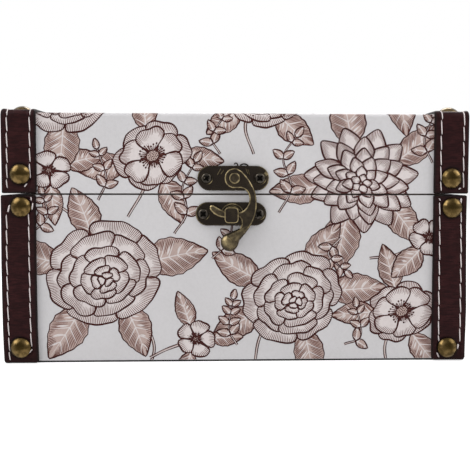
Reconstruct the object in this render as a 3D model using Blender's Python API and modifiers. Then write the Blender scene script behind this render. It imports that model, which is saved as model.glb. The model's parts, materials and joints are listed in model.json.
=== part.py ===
"""A tissue box cover shaped like a small chest.

Wooden boards carry a printed leather cover inside and out. The lid has a slot for the tissues,
turns on two hinges at the back, and is held shut at the front by a swing-hook latch.
Leather straps with domed studs run round the box near both ends.

The origin is the middle of the underside, +Z is up and the latch faces -Y. Lengths are in metres.
"""

from collections import namedtuple
from math import cos, pi, radians, sin

import bmesh
import bpy
from mathutils import Matrix, Vector

# The box, measured over its leather cover
BOX_WIDTH = 0.221
BOX_DEPTH = 0.121
BOX_HEIGHT = 0.1192
BASE_HEIGHT = 0.0804
SEAM = 0.0008
COVER_EDGE_RADIUS = 0.0014

# Sheets and boards
FIT = 0.0003
COVER = 0.0008
LINING = 0.0008
WALL_BOARD = 0.006
FLOOR_BOARD = 0.005
TOP_BOARD = 0.005
UNDERSIDE_SHEET = 0.0006
UNDERSIDE_INSET = 0.0003

# The slot in the lid
SLOT_LENGTH = 0.120
SLOT_WIDTH = 0.030

# Straps and studs
STRAP_WIDTH = 0.0162
STRAP = 0.0019
STRAP_OVERHANG = 0.0003
STRAP_EDGE_RADIUS = 0.0006
STUD_RADIUS = 0.0048
STUD_HEIGHT = 0.0023
STUD_SHANK_RADIUS = 0.0008
STUD_END_DISTANCE = 0.0066

# Shanks end in the boards, with some wood left in front of their tips
SHANK_TIP = 0.0008
WOOD_LEFT = 0.0006

# Screws
SCREW_HEAD_RADIUS = 0.00245
SCREW_HEAD = 0.001
SCREW_SHANK_RADIUS = 0.001
HINGE_SCREW_HEAD_RADIUS = 0.0019
HINGE_SCREW_HEAD = 0.0008

# Latch, placed from its pivot
PIVOT_RISE = 0.00765
PIVOT_SHIFT = -0.0011
PLATE = 0.0008
HOOK_PLATE_LENGTH = 0.034
HOOK_PLATE_HEIGHT = 0.0118
HOOK_PLATE_SHIFT = -0.0007
HOOK_SCREW_SPACING = 0.0254
PLATE_RAISE = 0.0014
RAISED_LENGTH = 0.0098
RAISED_SLOPE = 0.0026
CATCH_PLATE_LENGTH = 0.0337
CATCH_PLATE_HEIGHT = 0.0112
CATCH_PLATE_SHIFT = -0.00175
CATCH_SCREW_SPACING = 0.0264
CATCH_HEAD_WIDTH = 0.0066
CATCH_HEAD_HEIGHT = 0.0075
CATCH_HEAD = 0.0012
CATCH_HEAD_SHIFT = -0.00115
CATCH_HEAD_RADIUS = 0.0018
CATCH_STEM_WIDTH = 0.0043
CATCH_STEM = 0.0012
RIVET_HEAD_RADIUS = 0.0027
RIVET_HEAD = 0.0011
RIVET_SHANK_RADIUS = 0.0014
RIVET_TAIL_RADIUS = 0.0022
RIVET_TAIL = 0.0006
FINGER_RADIUS = 0.017
HOOK = 0.0016
HOOK_EDGE_RADIUS = 0.0004
EYE_RADIUS = 0.0048
KNOB_RADIUS = 0.0042
KNOB_DEPTH = 0.0026

# Hinges
HINGE_SPACING = 0.120
HINGE_WIDTH = 0.024
HINGE_LEAF_HEIGHT = 0.011
HINGE_CORNER_RADIUS = 0.0015
KNUCKLE_RADIUS = 0.0017
KNUCKLE_GAP = 0.0003
KNUCKLE_ROLL = 0.0001
HINGE_PIN_RADIUS = 0.0008
HINGE_SCREW_SPACING = 0.016
HINGE_SCREW_DISTANCE = 0.0065

# One overrun for all cuts
OVERRUN = 0.002

# Shapes given as shares of the sizes above
END_ROUND_SHARE = 0.98
DOME_RING_SHARES = (0.3, 0.62, 0.87, 1.0)
SCREW_DOME_SHARES = (0.55, 0.9, 1.0)
RIVET_DOME_SHARES = (0.6, 0.92, 1.0)
KNUCKLE_SHARE = 0.34
ALONG_SHARE = 0.9

# Stud name: share of the strap's width that it stands towards the middle of the box,
# and share of the studs' usual distance from the strap's end or edge
FRONT_STUD_SHARES = {
    "base_left_low": (-0.025, 1.02),
    "base_left_high": (0.05, 0.84),
    "base_right_low": (0.037, 0.85),
    "base_right_high": (-0.05, 0.9),
    "lid_left_front": (0.045, 1.36),
    "lid_right_front": (-0.015, 1.12),
    "lid_left_top": (-0.085, 2.5),
    "lid_right_top": (-0.115, 2.45),
}

# The hook's outline from its pivot, as shares of the finger's radius. Down the inside of the arm:
ARM_INSIDE_SHARES = (
    (-0.229, -0.171), (-0.07, -0.276), (0.179, -0.274), (0.312, -0.335), (0.394, -0.465),
    (0.409, -0.6), (0.371, -0.747), (0.288, -0.865), (0.17, -0.94),
)
# Along the finger's upper edge, round its tip and back along its lower edge:
FINGER_SHARES = (
    (-0.06, -0.965), (-0.274, -0.93), (-0.553, -0.776), (-0.64, -0.75), (-0.69, -0.8),
    (-0.67, -0.894), (-0.47, -1.053), (-0.274, -1.1), (-0.06, -1.115), (0.125, -1.085),
)
# Along the inside of the tail to the knob:
TAIL_INSIDE_SHARES = ((0.19, -1.2), (0.176, -1.33), (0.094, -1.447), (-0.059, -1.518), (-0.235, -1.547))
# From the knob up the outside of the arm to the eye:
ARM_OUTSIDE_SHARES = (
    (0.135, -1.718), (0.3, -1.518), (0.435, -1.33), (0.512, -1.188), (0.576, -1.018),
    (0.612, -0.818), (0.612, -0.594), (0.571, -0.376), (0.471, -0.159), (0.318, 0.065),
)
KNOB_PLACE_SHARES = (-0.145, -1.792)

# Facets
STUD_STEPS = 20
SCREW_STEPS = 16
HOLE_SIDES = 12
KNUCKLE_SIDES = 16
EDGE_SEGMENTS = 3
END_SEGMENTS = 8
CURVE_STEPS = 2

# Places that follow from the sizes
BACK = 1
FRONT = -1
side_face = BOX_WIDTH / 2
front_face = BOX_DEPTH / 2
cover_back_side = side_face - COVER
cover_back_front = front_face - COVER
board_side = cover_back_side - FIT
board_front = cover_back_front - FIT
inside_side = board_side - WALL_BOARD
inside_front = board_front - WALL_BOARD
lining_side = inside_side - FIT
lining_front = inside_front - FIT
cavity_side = lining_side - LINING
cavity_front = lining_front - LINING
base_bottom = UNDERSIDE_SHEET + FIT
base_board_top = BASE_HEIGHT - COVER - FIT
floor_top = base_bottom + FLOOR_BOARD
lid_rim = BASE_HEIGHT + SEAM
lid_board_bottom = lid_rim + COVER + FIT
top_board_top = BOX_HEIGHT - COVER - FIT
top_board_bottom = top_board_top - TOP_BOARD
strap_back = front_face + FIT
strap_face = strap_back + STRAP
strap_outer_edge = side_face + STRAP_OVERHANG
strap_middle = strap_outer_edge - STRAP_WIDTH / 2
strap_top = BOX_HEIGHT + FIT + STRAP
shank_drive = min(WALL_BOARD, TOP_BOARD) - SHANK_TIP - WOOD_LEFT
plate_back = front_face + FIT
plate_face = plate_back + PLATE
hook_back = plate_face + PLATE_RAISE + FIT
hook_face = hook_back + HOOK
hinge_height = BASE_HEIGHT + SEAM / 2
hinge_line = plate_back + KNUCKLE_RADIUS + KNUCKLE_ROLL
pivot_height = hinge_height + PIVOT_RISE
catch_height = pivot_height - FINGER_RADIUS
hook_plate_middle = PIVOT_SHIFT + HOOK_PLATE_SHIFT
catch_plate_middle = PIVOT_SHIFT + CATCH_PLATE_SHIFT
catch_head_middle = PIVOT_SHIFT + CATCH_HEAD_SHIFT

parts = None
cutters = None


def clear_scene():
    for item in list(bpy.data.objects):
        bpy.data.objects.remove(item, do_unlink=True)


def new_collection(name):
    collection = bpy.data.collections.new(name)
    bpy.context.scene.collection.children.link(collection)
    return collection


def finish(name, colour, roughness, metallic=0.0):
    """A material of one colour, roughness and metallic value."""
    material = bpy.data.materials.new(name)
    material.use_nodes = True
    shader = material.node_tree.nodes["Principled BSDF"]
    shader.inputs["Base Color"].default_value = (*colour, 1)
    shader.inputs["Roughness"].default_value = roughness
    shader.inputs["Metallic"].default_value = metallic
    return material


def axis_empty(name, place, parent=None):
    """An empty on a joint's axis, which carries the pieces that move with it."""
    empty = bpy.data.objects.new(name, None)
    parts.objects.link(empty)
    empty.parent = parent
    empty.location = Vector(place) - carried_at(parent)
    return empty


def carried_at(parent):
    """Where a parent stands in the world. Parents are never turned."""
    place = Vector((0, 0, 0))
    while parent is not None:
        place += parent.location
        parent = parent.parent
    return place


def piece(name, mesh, material, place=(0, 0, 0), parent=None, turn=(0, 0, 0)):
    """A named sub-part with its mesh set at a place in the world."""
    obj = bpy.data.objects.new(name, mesh)
    parts.objects.link(obj)
    if not mesh.materials:
        mesh.materials.append(material)
    obj.parent = parent
    obj.location = Vector(place) - carried_at(parent)
    obj.rotation_euler = turn
    return obj


def cutter(name, mesh, place=(0, 0, 0)):
    obj = bpy.data.objects.new(name, mesh)
    cutters.objects.link(obj)
    obj.location = place
    obj.hide_render = True
    obj.display_type = "WIRE"
    return obj


def boolean(obj, tool, operation="DIFFERENCE"):
    modifier = obj.modifiers.new(tool.name, "BOOLEAN")
    modifier.object = tool
    modifier.operation = operation


def to_mesh(name, shape):
    mesh = bpy.data.meshes.new(name)
    shape.to_mesh(mesh)
    shape.free()
    return mesh


def smooth(mesh, angle=radians(35)):
    mesh.shade_smooth()
    mesh.set_sharp_from_angle(angle=angle)


def block_mesh(name, size, radius=0, rounded=None, segments=EDGE_SEGMENTS):
    """A box around its own origin. rounded picks the edges that get the radius, by middle and direction."""
    shape = bmesh.new()
    bmesh.ops.create_cube(shape, size=1, matrix=Matrix.Diagonal((*size, 1)))
    if rounded is not None:
        edges = [edge for edge in shape.edges if rounded(*edge_facts(edge))]
        bmesh.ops.bevel(shape, geom=edges, offset=radius, segments=segments, profile=0.5,
                        affect="EDGES", clamp_overlap=True, material=-1)
    mesh = to_mesh(name, shape)
    smooth(mesh)
    return mesh


def edge_facts(edge):
    start, end = (vertex.co for vertex in edge.verts)
    return (start + end) / 2, (end - start).normalized()


def corners_of(low, high):
    """The size and the middle of a box from its lowest and highest corners."""
    low, high = Vector(low), Vector(high)
    return high - low, (low + high) / 2


def block(name, low, high, material, parent=None, radius=0, rounded=None, segments=EDGE_SEGMENTS):
    size, middle = corners_of(low, high)
    return piece(name, block_mesh(name, size, radius, rounded, segments), material, middle, parent)


def block_cutter(name, low, high, radius=0, rounded=None, segments=EDGE_SEGMENTS):
    size, middle = corners_of(low, high)
    return cutter(name, block_mesh(name, size, radius, rounded, segments), middle)


def along(axis):
    """Picks the edges that run along an axis."""
    return lambda middle, direction: abs(direction[axis]) > ALONG_SHARE


def top_and_standing_edges(middle, direction):
    return abs(direction.z) > ALONG_SHARE or middle.z > 0


def top_cross_edges(middle, direction):
    return abs(direction.x) > ALONG_SHARE and middle.z > 0


def drill(obj, name, holes):
    """Round holes cut by one tool. Each hole is its middle, its direction, its radius and its length."""
    shape = bmesh.new()
    for place, direction, radius, length in holes:
        turn = Vector((0, 0, 1)).rotation_difference(Vector(direction)).to_matrix().to_4x4()
        bmesh.ops.create_cone(shape, cap_ends=True, segments=HOLE_SIDES, radius1=radius, radius2=radius,
                              depth=length, matrix=Matrix.Translation(place) @ turn)
    boolean(obj, cutter(name, to_mesh(name, shape)))


def turned_mesh(name, profile, steps):
    """A profile of radius and height, from its top down its outer side, turned about +Z."""
    shape = bmesh.new()
    points = [shape.verts.new((radius, 0, height)) for radius, height in profile]
    for upper, lower in zip(points, points[1:]):
        shape.edges.new((upper, lower))
    return to_mesh(name, shape), steps


def turned(name, mesh_and_steps, material, place, direction, parent=None):
    """A turned piece whose +Z points along a direction."""
    mesh, steps = mesh_and_steps
    turn = Vector((0, 0, 1)).rotation_difference(Vector(direction)).to_euler()
    obj = piece(name, mesh, material, place, parent, turn)
    modifier = obj.modifiers.new("turning", "SCREW")
    modifier.steps = steps
    modifier.render_steps = steps
    modifier.use_merge_vertices = True
    modifier.merge_threshold = FIT / 10
    modifier.use_smooth_shade = True
    return obj


def dome(radius, height, ring_shares):
    """A domed head's profile, as the cap of a ball, from its top to its rim."""
    ball = (radius ** 2 + height ** 2) / (2 * height)
    points = [(0, height)]
    for share in ring_shares:
        points.append((radius * share, (ball ** 2 - (radius * share) ** 2) ** 0.5 - ball + height))
    return points


def fastener_profile(head_radius, head_height, ring_shares, shank_radius, shank_length, tip_length):
    """A domed head whose flat underside is at zero, over a shank that ends in a short point."""
    return dome(head_radius, head_height, ring_shares) + [
        (shank_radius, 0),
        (shank_radius, -shank_length),
        (0, -shank_length - tip_length),
    ]


# A stud or screw: the middle of its seat, the way its head faces, and its shank
Fastener = namedtuple("Fastener", "name place out shank_radius shank_length")


def stud(name, place, out):
    length = FIT + STRAP + FIT + COVER + FIT + shank_drive
    return Fastener(name, place, out, STUD_SHANK_RADIUS, length)


def screw(name, across, height, facing):
    """A screw through a plate on the cover. The plates of the latch and the hinges are seated alike."""
    length = FIT + PLATE + FIT + COVER + FIT + shank_drive
    return Fastener(name, (across, facing * (plate_face + FIT), height), (0, facing, 0),
                    SCREW_SHANK_RADIUS, length)


def stud_shares(key, facing):
    """A front stud's own shares. The studs of the back stand in the middle, at the usual distance."""
    return FRONT_STUD_SHARES[key] if facing == FRONT else (0, 1)


def all_studs():
    studs = []
    for facing, face in ((FRONT, "front"), (BACK, "back")):
        for side, hand in ((-1, "left"), (1, "right")):
            def across(key):
                return side * (strap_middle - stud_shares(key, facing)[0] * STRAP_WIDTH)

            def away(key):
                return stud_shares(key, facing)[1] * STUD_END_DISTANCE

            seat, out = facing * (strap_face + FIT), (0, facing, 0)
            low, high = f"base_{hand}_low", f"base_{hand}_high"
            rise, top = f"lid_{hand}_front", f"lid_{hand}_top"
            studs += [
                stud(f"base_stud_{face}_{hand}_low", (across(low), seat, base_bottom + away(low)), out),
                stud(f"base_stud_{face}_{hand}_high", (across(high), seat, BASE_HEIGHT - away(high)), out),
                stud(f"lid_stud_{face}_{hand}", (across(rise), seat, lid_rim + away(rise)), out),
                stud(f"lid_stud_top_{face}_{hand}",
                     (across(top), facing * (strap_face - away(top)), strap_top + FIT), (0, 0, 1)),
            ]
    return studs


def all_screws():
    screws = []
    for side, hand in ((-1, "left"), (1, "right")):
        hook_screw = hook_plate_middle + side * HOOK_SCREW_SPACING / 2
        catch_screw = catch_plate_middle + side * CATCH_SCREW_SPACING / 2
        screws += [
            screw(f"lid_latch_screw_{hand}", hook_screw, pivot_height, FRONT),
            screw(f"base_latch_screw_{hand}", catch_screw, catch_height, FRONT),
        ]
        for end, place in ((-1, "outer"), (1, "inner")):
            across = side * HINGE_SPACING / 2 - side * end * HINGE_SCREW_SPACING / 2
            for body, rise in (("base", -HINGE_SCREW_DISTANCE), ("lid", HINGE_SCREW_DISTANCE)):
                name = f"{body}_hinge_screw_{hand}_{place}"
                screws.append(screw(name, across, hinge_height + rise, BACK))
    return screws


def drill_for(obj, fasteners):
    """Clearance holes around the shanks of the fasteners that pass through or end in a piece."""
    holes = []
    for fastener in fasteners:
        length = fastener.shank_length + SHANK_TIP + FIT + OVERRUN
        middle = Vector(fastener.place) + Vector(fastener.out) * (OVERRUN - length / 2)
        holes.append((middle, fastener.out, fastener.shank_radius + FIT, length))
    drill(obj, f"{obj.name}_holes", holes)


def picked(fasteners, *words, facing=None):
    """The fasteners whose names hold all the words, and that face a way if one is given."""
    found = [item for item in fasteners if all(word in item.name for word in words)]
    return [item for item in found if facing in (None, item.out[1])]


def build_base(fasteners):
    base = picked(fasteners, "base")
    wood = finish("base_board_wood", (0.55, 0.42, 0.28), 0.7)
    sheet = finish("underside_paper", (0.02, 0.018, 0.018), 0.9)
    reach = Vector((side_face - UNDERSIDE_INSET, front_face - UNDERSIDE_INSET, 0))
    block("underside_sheet", -reach, reach + Vector((0, 0, UNDERSIDE_SHEET)), sheet)
    for facing, face in ((FRONT, "front"), (BACK, "back")):
        near, far = sorted((facing * inside_front, facing * board_front))
        board = block(f"base_{face}_board", (-board_side, near, base_bottom),
                      (board_side, far, base_board_top), wood)
        drill_for(board, picked(base, facing=facing))
    for side, hand in ((-1, "left"), (1, "right")):
        near, far = sorted((side * inside_side, side * board_side))
        block(f"base_{hand}_board", (near, -lining_front, base_bottom),
              (far, lining_front, base_board_top), wood)
    block("base_floor_board", (-lining_side, -lining_front, base_bottom),
          (lining_side, lining_front, floor_top), wood)
    base_cover(base)
    base_lining()
    for facing, face in ((FRONT, "front"), (BACK, "back")):
        for side, hand in ((-1, "left"), (1, "right")):
            base_strap(face, facing, hand, side, base)


def base_cover(base):
    leather = finish("base_printed_leather", (0.58, 0.56, 0.57), 0.5)
    cover = block("base_cover", (-side_face, -front_face, base_bottom),
                  (side_face, front_face, BASE_HEIGHT),
                  leather, radius=COVER_EDGE_RADIUS, rounded=along(2))
    boolean(cover, block_cutter("base_cover_inside",
                                (-cover_back_side, -cover_back_front, -OVERRUN),
                                (cover_back_side, cover_back_front, BASE_HEIGHT - COVER)))
    boolean(cover, block_cutter("base_cover_mouth", (-inside_side, -inside_front, 0),
                                (inside_side, inside_front, BASE_HEIGHT + OVERRUN)))
    drill_for(cover, base)


def base_lining():
    cloth = finish("base_lining_cloth", (0.5, 0.45, 0.38), 0.9)
    bottom = floor_top + FIT
    lining = block("base_lining", (-lining_side, -lining_front, bottom),
                   (lining_side, lining_front, BASE_HEIGHT), cloth)
    boolean(lining, block_cutter("base_lining_inside", (-cavity_side, -cavity_front, bottom + LINING),
                                 (cavity_side, cavity_front, BASE_HEIGHT + OVERRUN)))


def round_strap_edges(strap):
    modifier = strap.modifiers.new("worn_edges", "BEVEL")
    modifier.width = STRAP_EDGE_RADIUS
    modifier.segments = 2
    modifier.limit_method = "ANGLE"
    modifier.angle_limit = radians(50)


def base_strap(face, facing, hand, side, base):
    leather = finish(f"base_strap_leather_{face}_{hand}", (0.028, 0.012, 0.012), 0.45)
    near, far = sorted((facing * strap_back, facing * strap_face))
    inner, outer = sorted((side * (strap_outer_edge - STRAP_WIDTH), side * strap_outer_edge))
    strap = block(f"base_strap_{face}_{hand}", (inner, near, UNDERSIDE_SHEET),
                  (outer, far, BASE_HEIGHT), leather)
    round_strap_edges(strap)
    drill_for(strap, picked(base, "base_stud", face, hand))


def build_lid(fasteners, axis):
    lid = picked(fasteners, "lid")
    wood = finish("lid_board_wood", (0.55, 0.42, 0.28), 0.7)
    rail_top = top_board_bottom - FIT
    for facing, face in ((FRONT, "front"), (BACK, "back")):
        near, far = sorted((facing * inside_front, facing * board_front))
        rail = block(f"lid_{face}_rail", (-board_side, near, lid_board_bottom), (board_side, far, rail_top),
                     wood, axis)
        drill_for(rail, picked(lid, facing=facing))
    for side, hand in ((-1, "left"), (1, "right")):
        near, far = sorted((side * inside_side, side * board_side))
        block(f"lid_{hand}_rail", (near, -lining_front, lid_board_bottom), (far, lining_front, rail_top),
              wood, axis)
    board = block("lid_top_board", (-board_side, -board_front, top_board_bottom),
                  (board_side, board_front, top_board_top), wood, axis)
    boolean(board, slot_cutter("top_board_slot", COVER + FIT))
    drill_for(board, picked(lid, "lid_stud_top"))
    lid_cover(lid, axis)
    lid_lining(axis)
    for side, hand in ((-1, "left"), (1, "right")):
        lid_strap(hand, side, lid, axis)


def slot_cutter(name, margin, low=top_board_bottom - OVERRUN, high=BOX_HEIGHT + OVERRUN):
    """A block with round ends, the tissue slot made larger all round by a margin."""
    length, width = SLOT_LENGTH / 2 + margin, SLOT_WIDTH / 2 + margin
    return block_cutter(name, (-length, -width, low), (length, width, high),
                        width * END_ROUND_SHARE, along(2), END_SEGMENTS)


def lid_cover(lid, axis):
    """The cover is turned down through the slot and in under the rim."""
    leather = finish("lid_printed_leather", (0.58, 0.56, 0.57), 0.5)
    cover = block("lid_cover", (-side_face, -front_face, lid_rim), (side_face, front_face, BOX_HEIGHT),
                  leather, axis, COVER_EDGE_RADIUS, top_and_standing_edges)
    boolean(cover, block_cutter("lid_cover_inside",
                                (-cover_back_side, -cover_back_front, lid_rim + COVER),
                                (cover_back_side, cover_back_front, BOX_HEIGHT - COVER)))
    boolean(cover, block_cutter("lid_cover_mouth", (-inside_side, -inside_front, lid_rim - OVERRUN),
                                (inside_side, inside_front, top_board_bottom)))
    boolean(cover, slot_cutter("slot_lip", COVER, top_board_bottom, BOX_HEIGHT - COVER / 2), "UNION")
    boolean(cover, slot_cutter("cover_slot", 0))
    drill_for(cover, lid)


def lid_lining(axis):
    cloth = finish("lid_lining_cloth", (0.5, 0.45, 0.38), 0.9)
    top = top_board_bottom - FIT
    lining = block("lid_lining", (-lining_side, -lining_front, lid_rim), (lining_side, lining_front, top),
                   cloth, axis)
    boolean(lining, block_cutter("lid_lining_inside", (-cavity_side, -cavity_front, lid_rim - OVERRUN),
                                 (cavity_side, cavity_front, top - LINING)))
    boolean(lining, slot_cutter("lining_slot", 0))


def lid_strap(hand, side, lid, axis):
    """One strap runs up the front, over the top and down the back."""
    leather = finish(f"lid_strap_leather_{hand}", (0.028, 0.012, 0.012), 0.45)
    inner, outer = sorted((side * (strap_outer_edge - STRAP_WIDTH), side * strap_outer_edge))
    bottom = lid_rim + FIT
    fold = COVER_EDGE_RADIUS + FIT
    strap = block(f"lid_strap_{hand}", (inner, -strap_face, bottom), (outer, strap_face, strap_top),
                  leather, axis, fold + STRAP, top_cross_edges)
    boolean(strap, block_cutter(f"lid_strap_{hand}_inside", (inner - OVERRUN, -strap_back, bottom - OVERRUN),
                                (outer + OVERRUN, strap_back, BOX_HEIGHT + FIT), fold, top_cross_edges))
    round_strap_edges(strap)
    drill_for(strap, picked(lid, "lid_stud", hand))


def build_fasteners(fasteners, lid_axis):
    brass = finish("antique_brass_stud", (0.13, 0.09, 0.03), 0.35, 1.0)
    bronze = finish("antique_bronze_screw", (0.05, 0.04, 0.03), 0.4, 1.0)
    plated = finish("hinge_screw_brass", (0.3, 0.22, 0.1), 0.4, 1.0)
    samples = {item.name.split("_")[1]: item for item in fasteners}
    kinds = {
        "stud": (STUD_RADIUS, STUD_HEIGHT, DOME_RING_SHARES, STUD_STEPS, brass),
        "latch": (SCREW_HEAD_RADIUS, SCREW_HEAD, SCREW_DOME_SHARES, SCREW_STEPS, bronze),
        "hinge": (HINGE_SCREW_HEAD_RADIUS, HINGE_SCREW_HEAD, SCREW_DOME_SHARES, SCREW_STEPS, plated),
    }
    for kind, (radius, height, shares, steps, material) in kinds.items():
        like = samples[kind]
        profile = fastener_profile(radius, height, shares, like.shank_radius, like.shank_length, SHANK_TIP)
        shape = turned_mesh(f"{kind}_profile", profile, steps)
        for item in fasteners:
            if item.name.split("_")[1] == kind:
                parent = lid_axis if item.name.startswith("lid") else None
                turned(item.name, shape, material, item.place, item.out, parent)


def front_block(name, across, level, height, maker, radius=0, rounded=None, **more):
    """A block on the front, from pairs of limits: across the box, out from its middle, and in height."""
    low = (across[0], -level[1], height[0])
    high = (across[1], -level[0], height[1])
    return maker(name, low, high, radius=radius, rounded=rounded, **more)


def around(middle, size):
    return middle - size / 2, middle + size / 2


def build_catch(fasteners):
    """A plate whose tab comes forward and turns down into a square head, in front of the hook's finger."""
    bronze = finish("catch_plate_bronze", (0.035, 0.027, 0.024), 0.4, 1.0)
    plate = front_block("catch_plate", around(catch_plate_middle, CATCH_PLATE_LENGTH),
                        (plate_back, plate_face), around(catch_height, CATCH_PLATE_HEIGHT), block,
                        material=bronze,
                        radius=CATCH_PLATE_HEIGHT / 2 * END_ROUND_SHARE, rounded=along(1),
                        segments=END_SEGMENTS)
    head_top = catch_height + CATCH_HEAD_HEIGHT / 2
    head_back = hook_face + FIT
    head = front_block("catch_head", around(catch_head_middle, CATCH_HEAD_WIDTH),
                       (head_back, head_back + CATCH_HEAD), (head_top - CATCH_HEAD_HEIGHT, head_top),
                       block_cutter, radius=CATCH_HEAD_RADIUS, rounded=along(1))
    stem = front_block("catch_stem", around(catch_head_middle, CATCH_STEM_WIDTH),
                       (plate_back + PLATE / 2, head_back + CATCH_HEAD / 2),
                       (head_top - CATCH_STEM, head_top - CATCH_STEM / 4), block_cutter)
    boolean(plate, stem, "UNION")
    boolean(plate, head, "UNION")
    drill_for(plate, picked(fasteners, "base_latch_screw"))


def build_hook_plate(fasteners, axis):
    """A pressed plate, raised in its middle, where the hook turns on a rivet."""
    bronze = finish("hook_plate_bronze", (0.035, 0.027, 0.024), 0.4, 1.0)
    across = around(hook_plate_middle, HOOK_PLATE_LENGTH)
    height = around(pivot_height, HOOK_PLATE_HEIGHT)
    raised = around(hook_plate_middle, RAISED_LENGTH)
    sloped = around(hook_plate_middle, RAISED_LENGTH + 2 * RAISED_SLOPE)
    bends = [(across[0] - OVERRUN, 0), (sloped[0], 0), (raised[0], PLATE_RAISE),
             (raised[1], PLATE_RAISE), (sloped[1], 0), (across[1] + OVERRUN, 0)]
    outline = [(x, -plate_back - rise - PLATE) for x, rise in bends]
    outline += [(x, -plate_back - rise) for x, rise in reversed(bends)]
    plate = flat_outline("hook_plate", outline, HOOK_PLATE_HEIGHT + OVERRUN, bronze,
                         (0, 0, pivot_height), axis)
    ends = front_block("hook_plate_ends", across,
                       (plate_back - OVERRUN, plate_face + PLATE_RAISE + OVERRUN), height,
                       block_cutter, radius=HOOK_PLATE_HEIGHT / 2 * END_ROUND_SHARE,
                       rounded=along(1), segments=END_SEGMENTS)
    boolean(plate, ends, "INTERSECT")
    drill_for(plate, picked(fasteners, "lid_latch_screw"))
    drill(plate, "rivet_hole", [((PIVOT_SHIFT, -plate_face, pivot_height), (0, 1, 0),
                                 RIVET_SHANK_RADIUS + FIT, 2 * (PLATE_RAISE + PLATE + OVERRUN))])


def flat_outline(name, points, thickness, material, place, parent=None, turn=(0, 0, 0), edge=0,
                 smooth_line=False):
    """A flat piece from its outline, made a mesh so that it can be cut."""
    curve = bpy.data.curves.new(name + "_outline", "CURVE")
    curve.dimensions = "2D"
    curve.fill_mode = "BOTH"
    curve.extrude = thickness / 2 - edge
    curve.bevel_depth = edge
    curve.bevel_resolution = 0
    curve.offset = -edge
    curve.resolution_u = CURVE_STEPS
    spline = curve.splines.new("BEZIER" if smooth_line else "POLY")
    if smooth_line:
        spline.bezier_points.add(len(points) - 1)
        for knot, (x, y) in zip(spline.bezier_points, points):
            knot.co = (x, y, 0)
            knot.handle_left_type = "AUTO"
            knot.handle_right_type = "AUTO"
    else:
        spline.points.add(len(points) - 1)
        for knot, (x, y) in zip(spline.points, points):
            knot.co = (x, y, 0, 1)
    spline.use_cyclic_u = True
    guide = cutter(name + "_guide", curve)
    drawn = guide.evaluated_get(bpy.context.evaluated_depsgraph_get())
    shape = bmesh.new()
    shape.from_mesh(bpy.data.meshes.new_from_object(drawn))
    bmesh.ops.remove_doubles(shape, verts=shape.verts, dist=FIT / 100)
    mesh = to_mesh(name, shape)
    smooth(mesh)
    bpy.data.objects.remove(guide)
    return piece(name, mesh, material, place, parent, turn)


def scaled(shares, size):
    return [(x * size, z * size) for x, z in shares]


def circle_arc(centre, radius, start, end, count):
    steps = [start + (end - start) * i / (count - 1) for i in range(count)]
    return [(centre[0] + radius * cos(angle), centre[1] + radius * sin(angle)) for angle in steps]


def hook_outline():
    """Round the eye, down the inside of the arm, round the finger and the knob, and back up the outside."""
    knob, = scaled([KNOB_PLACE_SHARES], FINGER_RADIUS)
    eye_arc = circle_arc((0, 0), EYE_RADIUS, radians(75), radians(190), 5)
    knob_arc = circle_arc(knob, KNOB_RADIUS, radians(150), radians(345), 6)
    inside = scaled(ARM_INSIDE_SHARES + FINGER_SHARES + TAIL_INSIDE_SHARES, FINGER_RADIUS)
    return eye_arc + inside + knob_arc + scaled(ARM_OUTSIDE_SHARES, FINGER_RADIUS)


def build_hook(pivot):
    bronze = finish("latch_hook_bronze", (0.06, 0.045, 0.025), 0.35, 1.0)
    middle = -(hook_back + hook_face) / 2
    eye = Vector((PIVOT_SHIFT, middle, pivot_height))
    hook = flat_outline("latch_hook", hook_outline(), HOOK, bronze, eye, pivot, (radians(90), 0, 0),
                        HOOK_EDGE_RADIUS, True)
    (x, z), = scaled([KNOB_PLACE_SHARES], FINGER_RADIUS)
    shape = bmesh.new()
    scale = Matrix.Diagonal((KNOB_RADIUS, KNOB_DEPTH, KNOB_RADIUS, 1))
    bmesh.ops.create_uvsphere(shape, u_segments=STUD_STEPS, v_segments=HOLE_SIDES, radius=1, matrix=scale)
    boolean(hook, cutter("hook_knob", to_mesh("hook_knob", shape), eye + Vector((x, 0, z))), "UNION")
    drill(hook, "eye_hole", [(eye, (0, 1, 0), RIVET_SHANK_RADIUS + FIT, HOOK + 2 * OVERRUN)])


def build_rivet(axis):
    """The hook's pivot, spread behind the raised plate."""
    bronze = finish("hook_rivet_bronze", (0.1, 0.075, 0.035), 0.35, 1.0)
    head_back = hook_face + FIT
    tail_face = plate_back + PLATE_RAISE - FIT
    profile = dome(RIVET_HEAD_RADIUS, RIVET_HEAD, RIVET_DOME_SHARES) + [
        (RIVET_SHANK_RADIUS, 0),
        (RIVET_SHANK_RADIUS, tail_face - head_back),
        (RIVET_TAIL_RADIUS, tail_face - head_back),
        (RIVET_TAIL_RADIUS, tail_face - head_back - RIVET_TAIL),
        (0, tail_face - head_back - RIVET_TAIL),
    ]
    turned("hook_rivet", turned_mesh("rivet_profile", profile, SCREW_STEPS), bronze,
           (PIVOT_SHIFT, -head_back, pivot_height), (0, FRONT, 0), axis)


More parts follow.
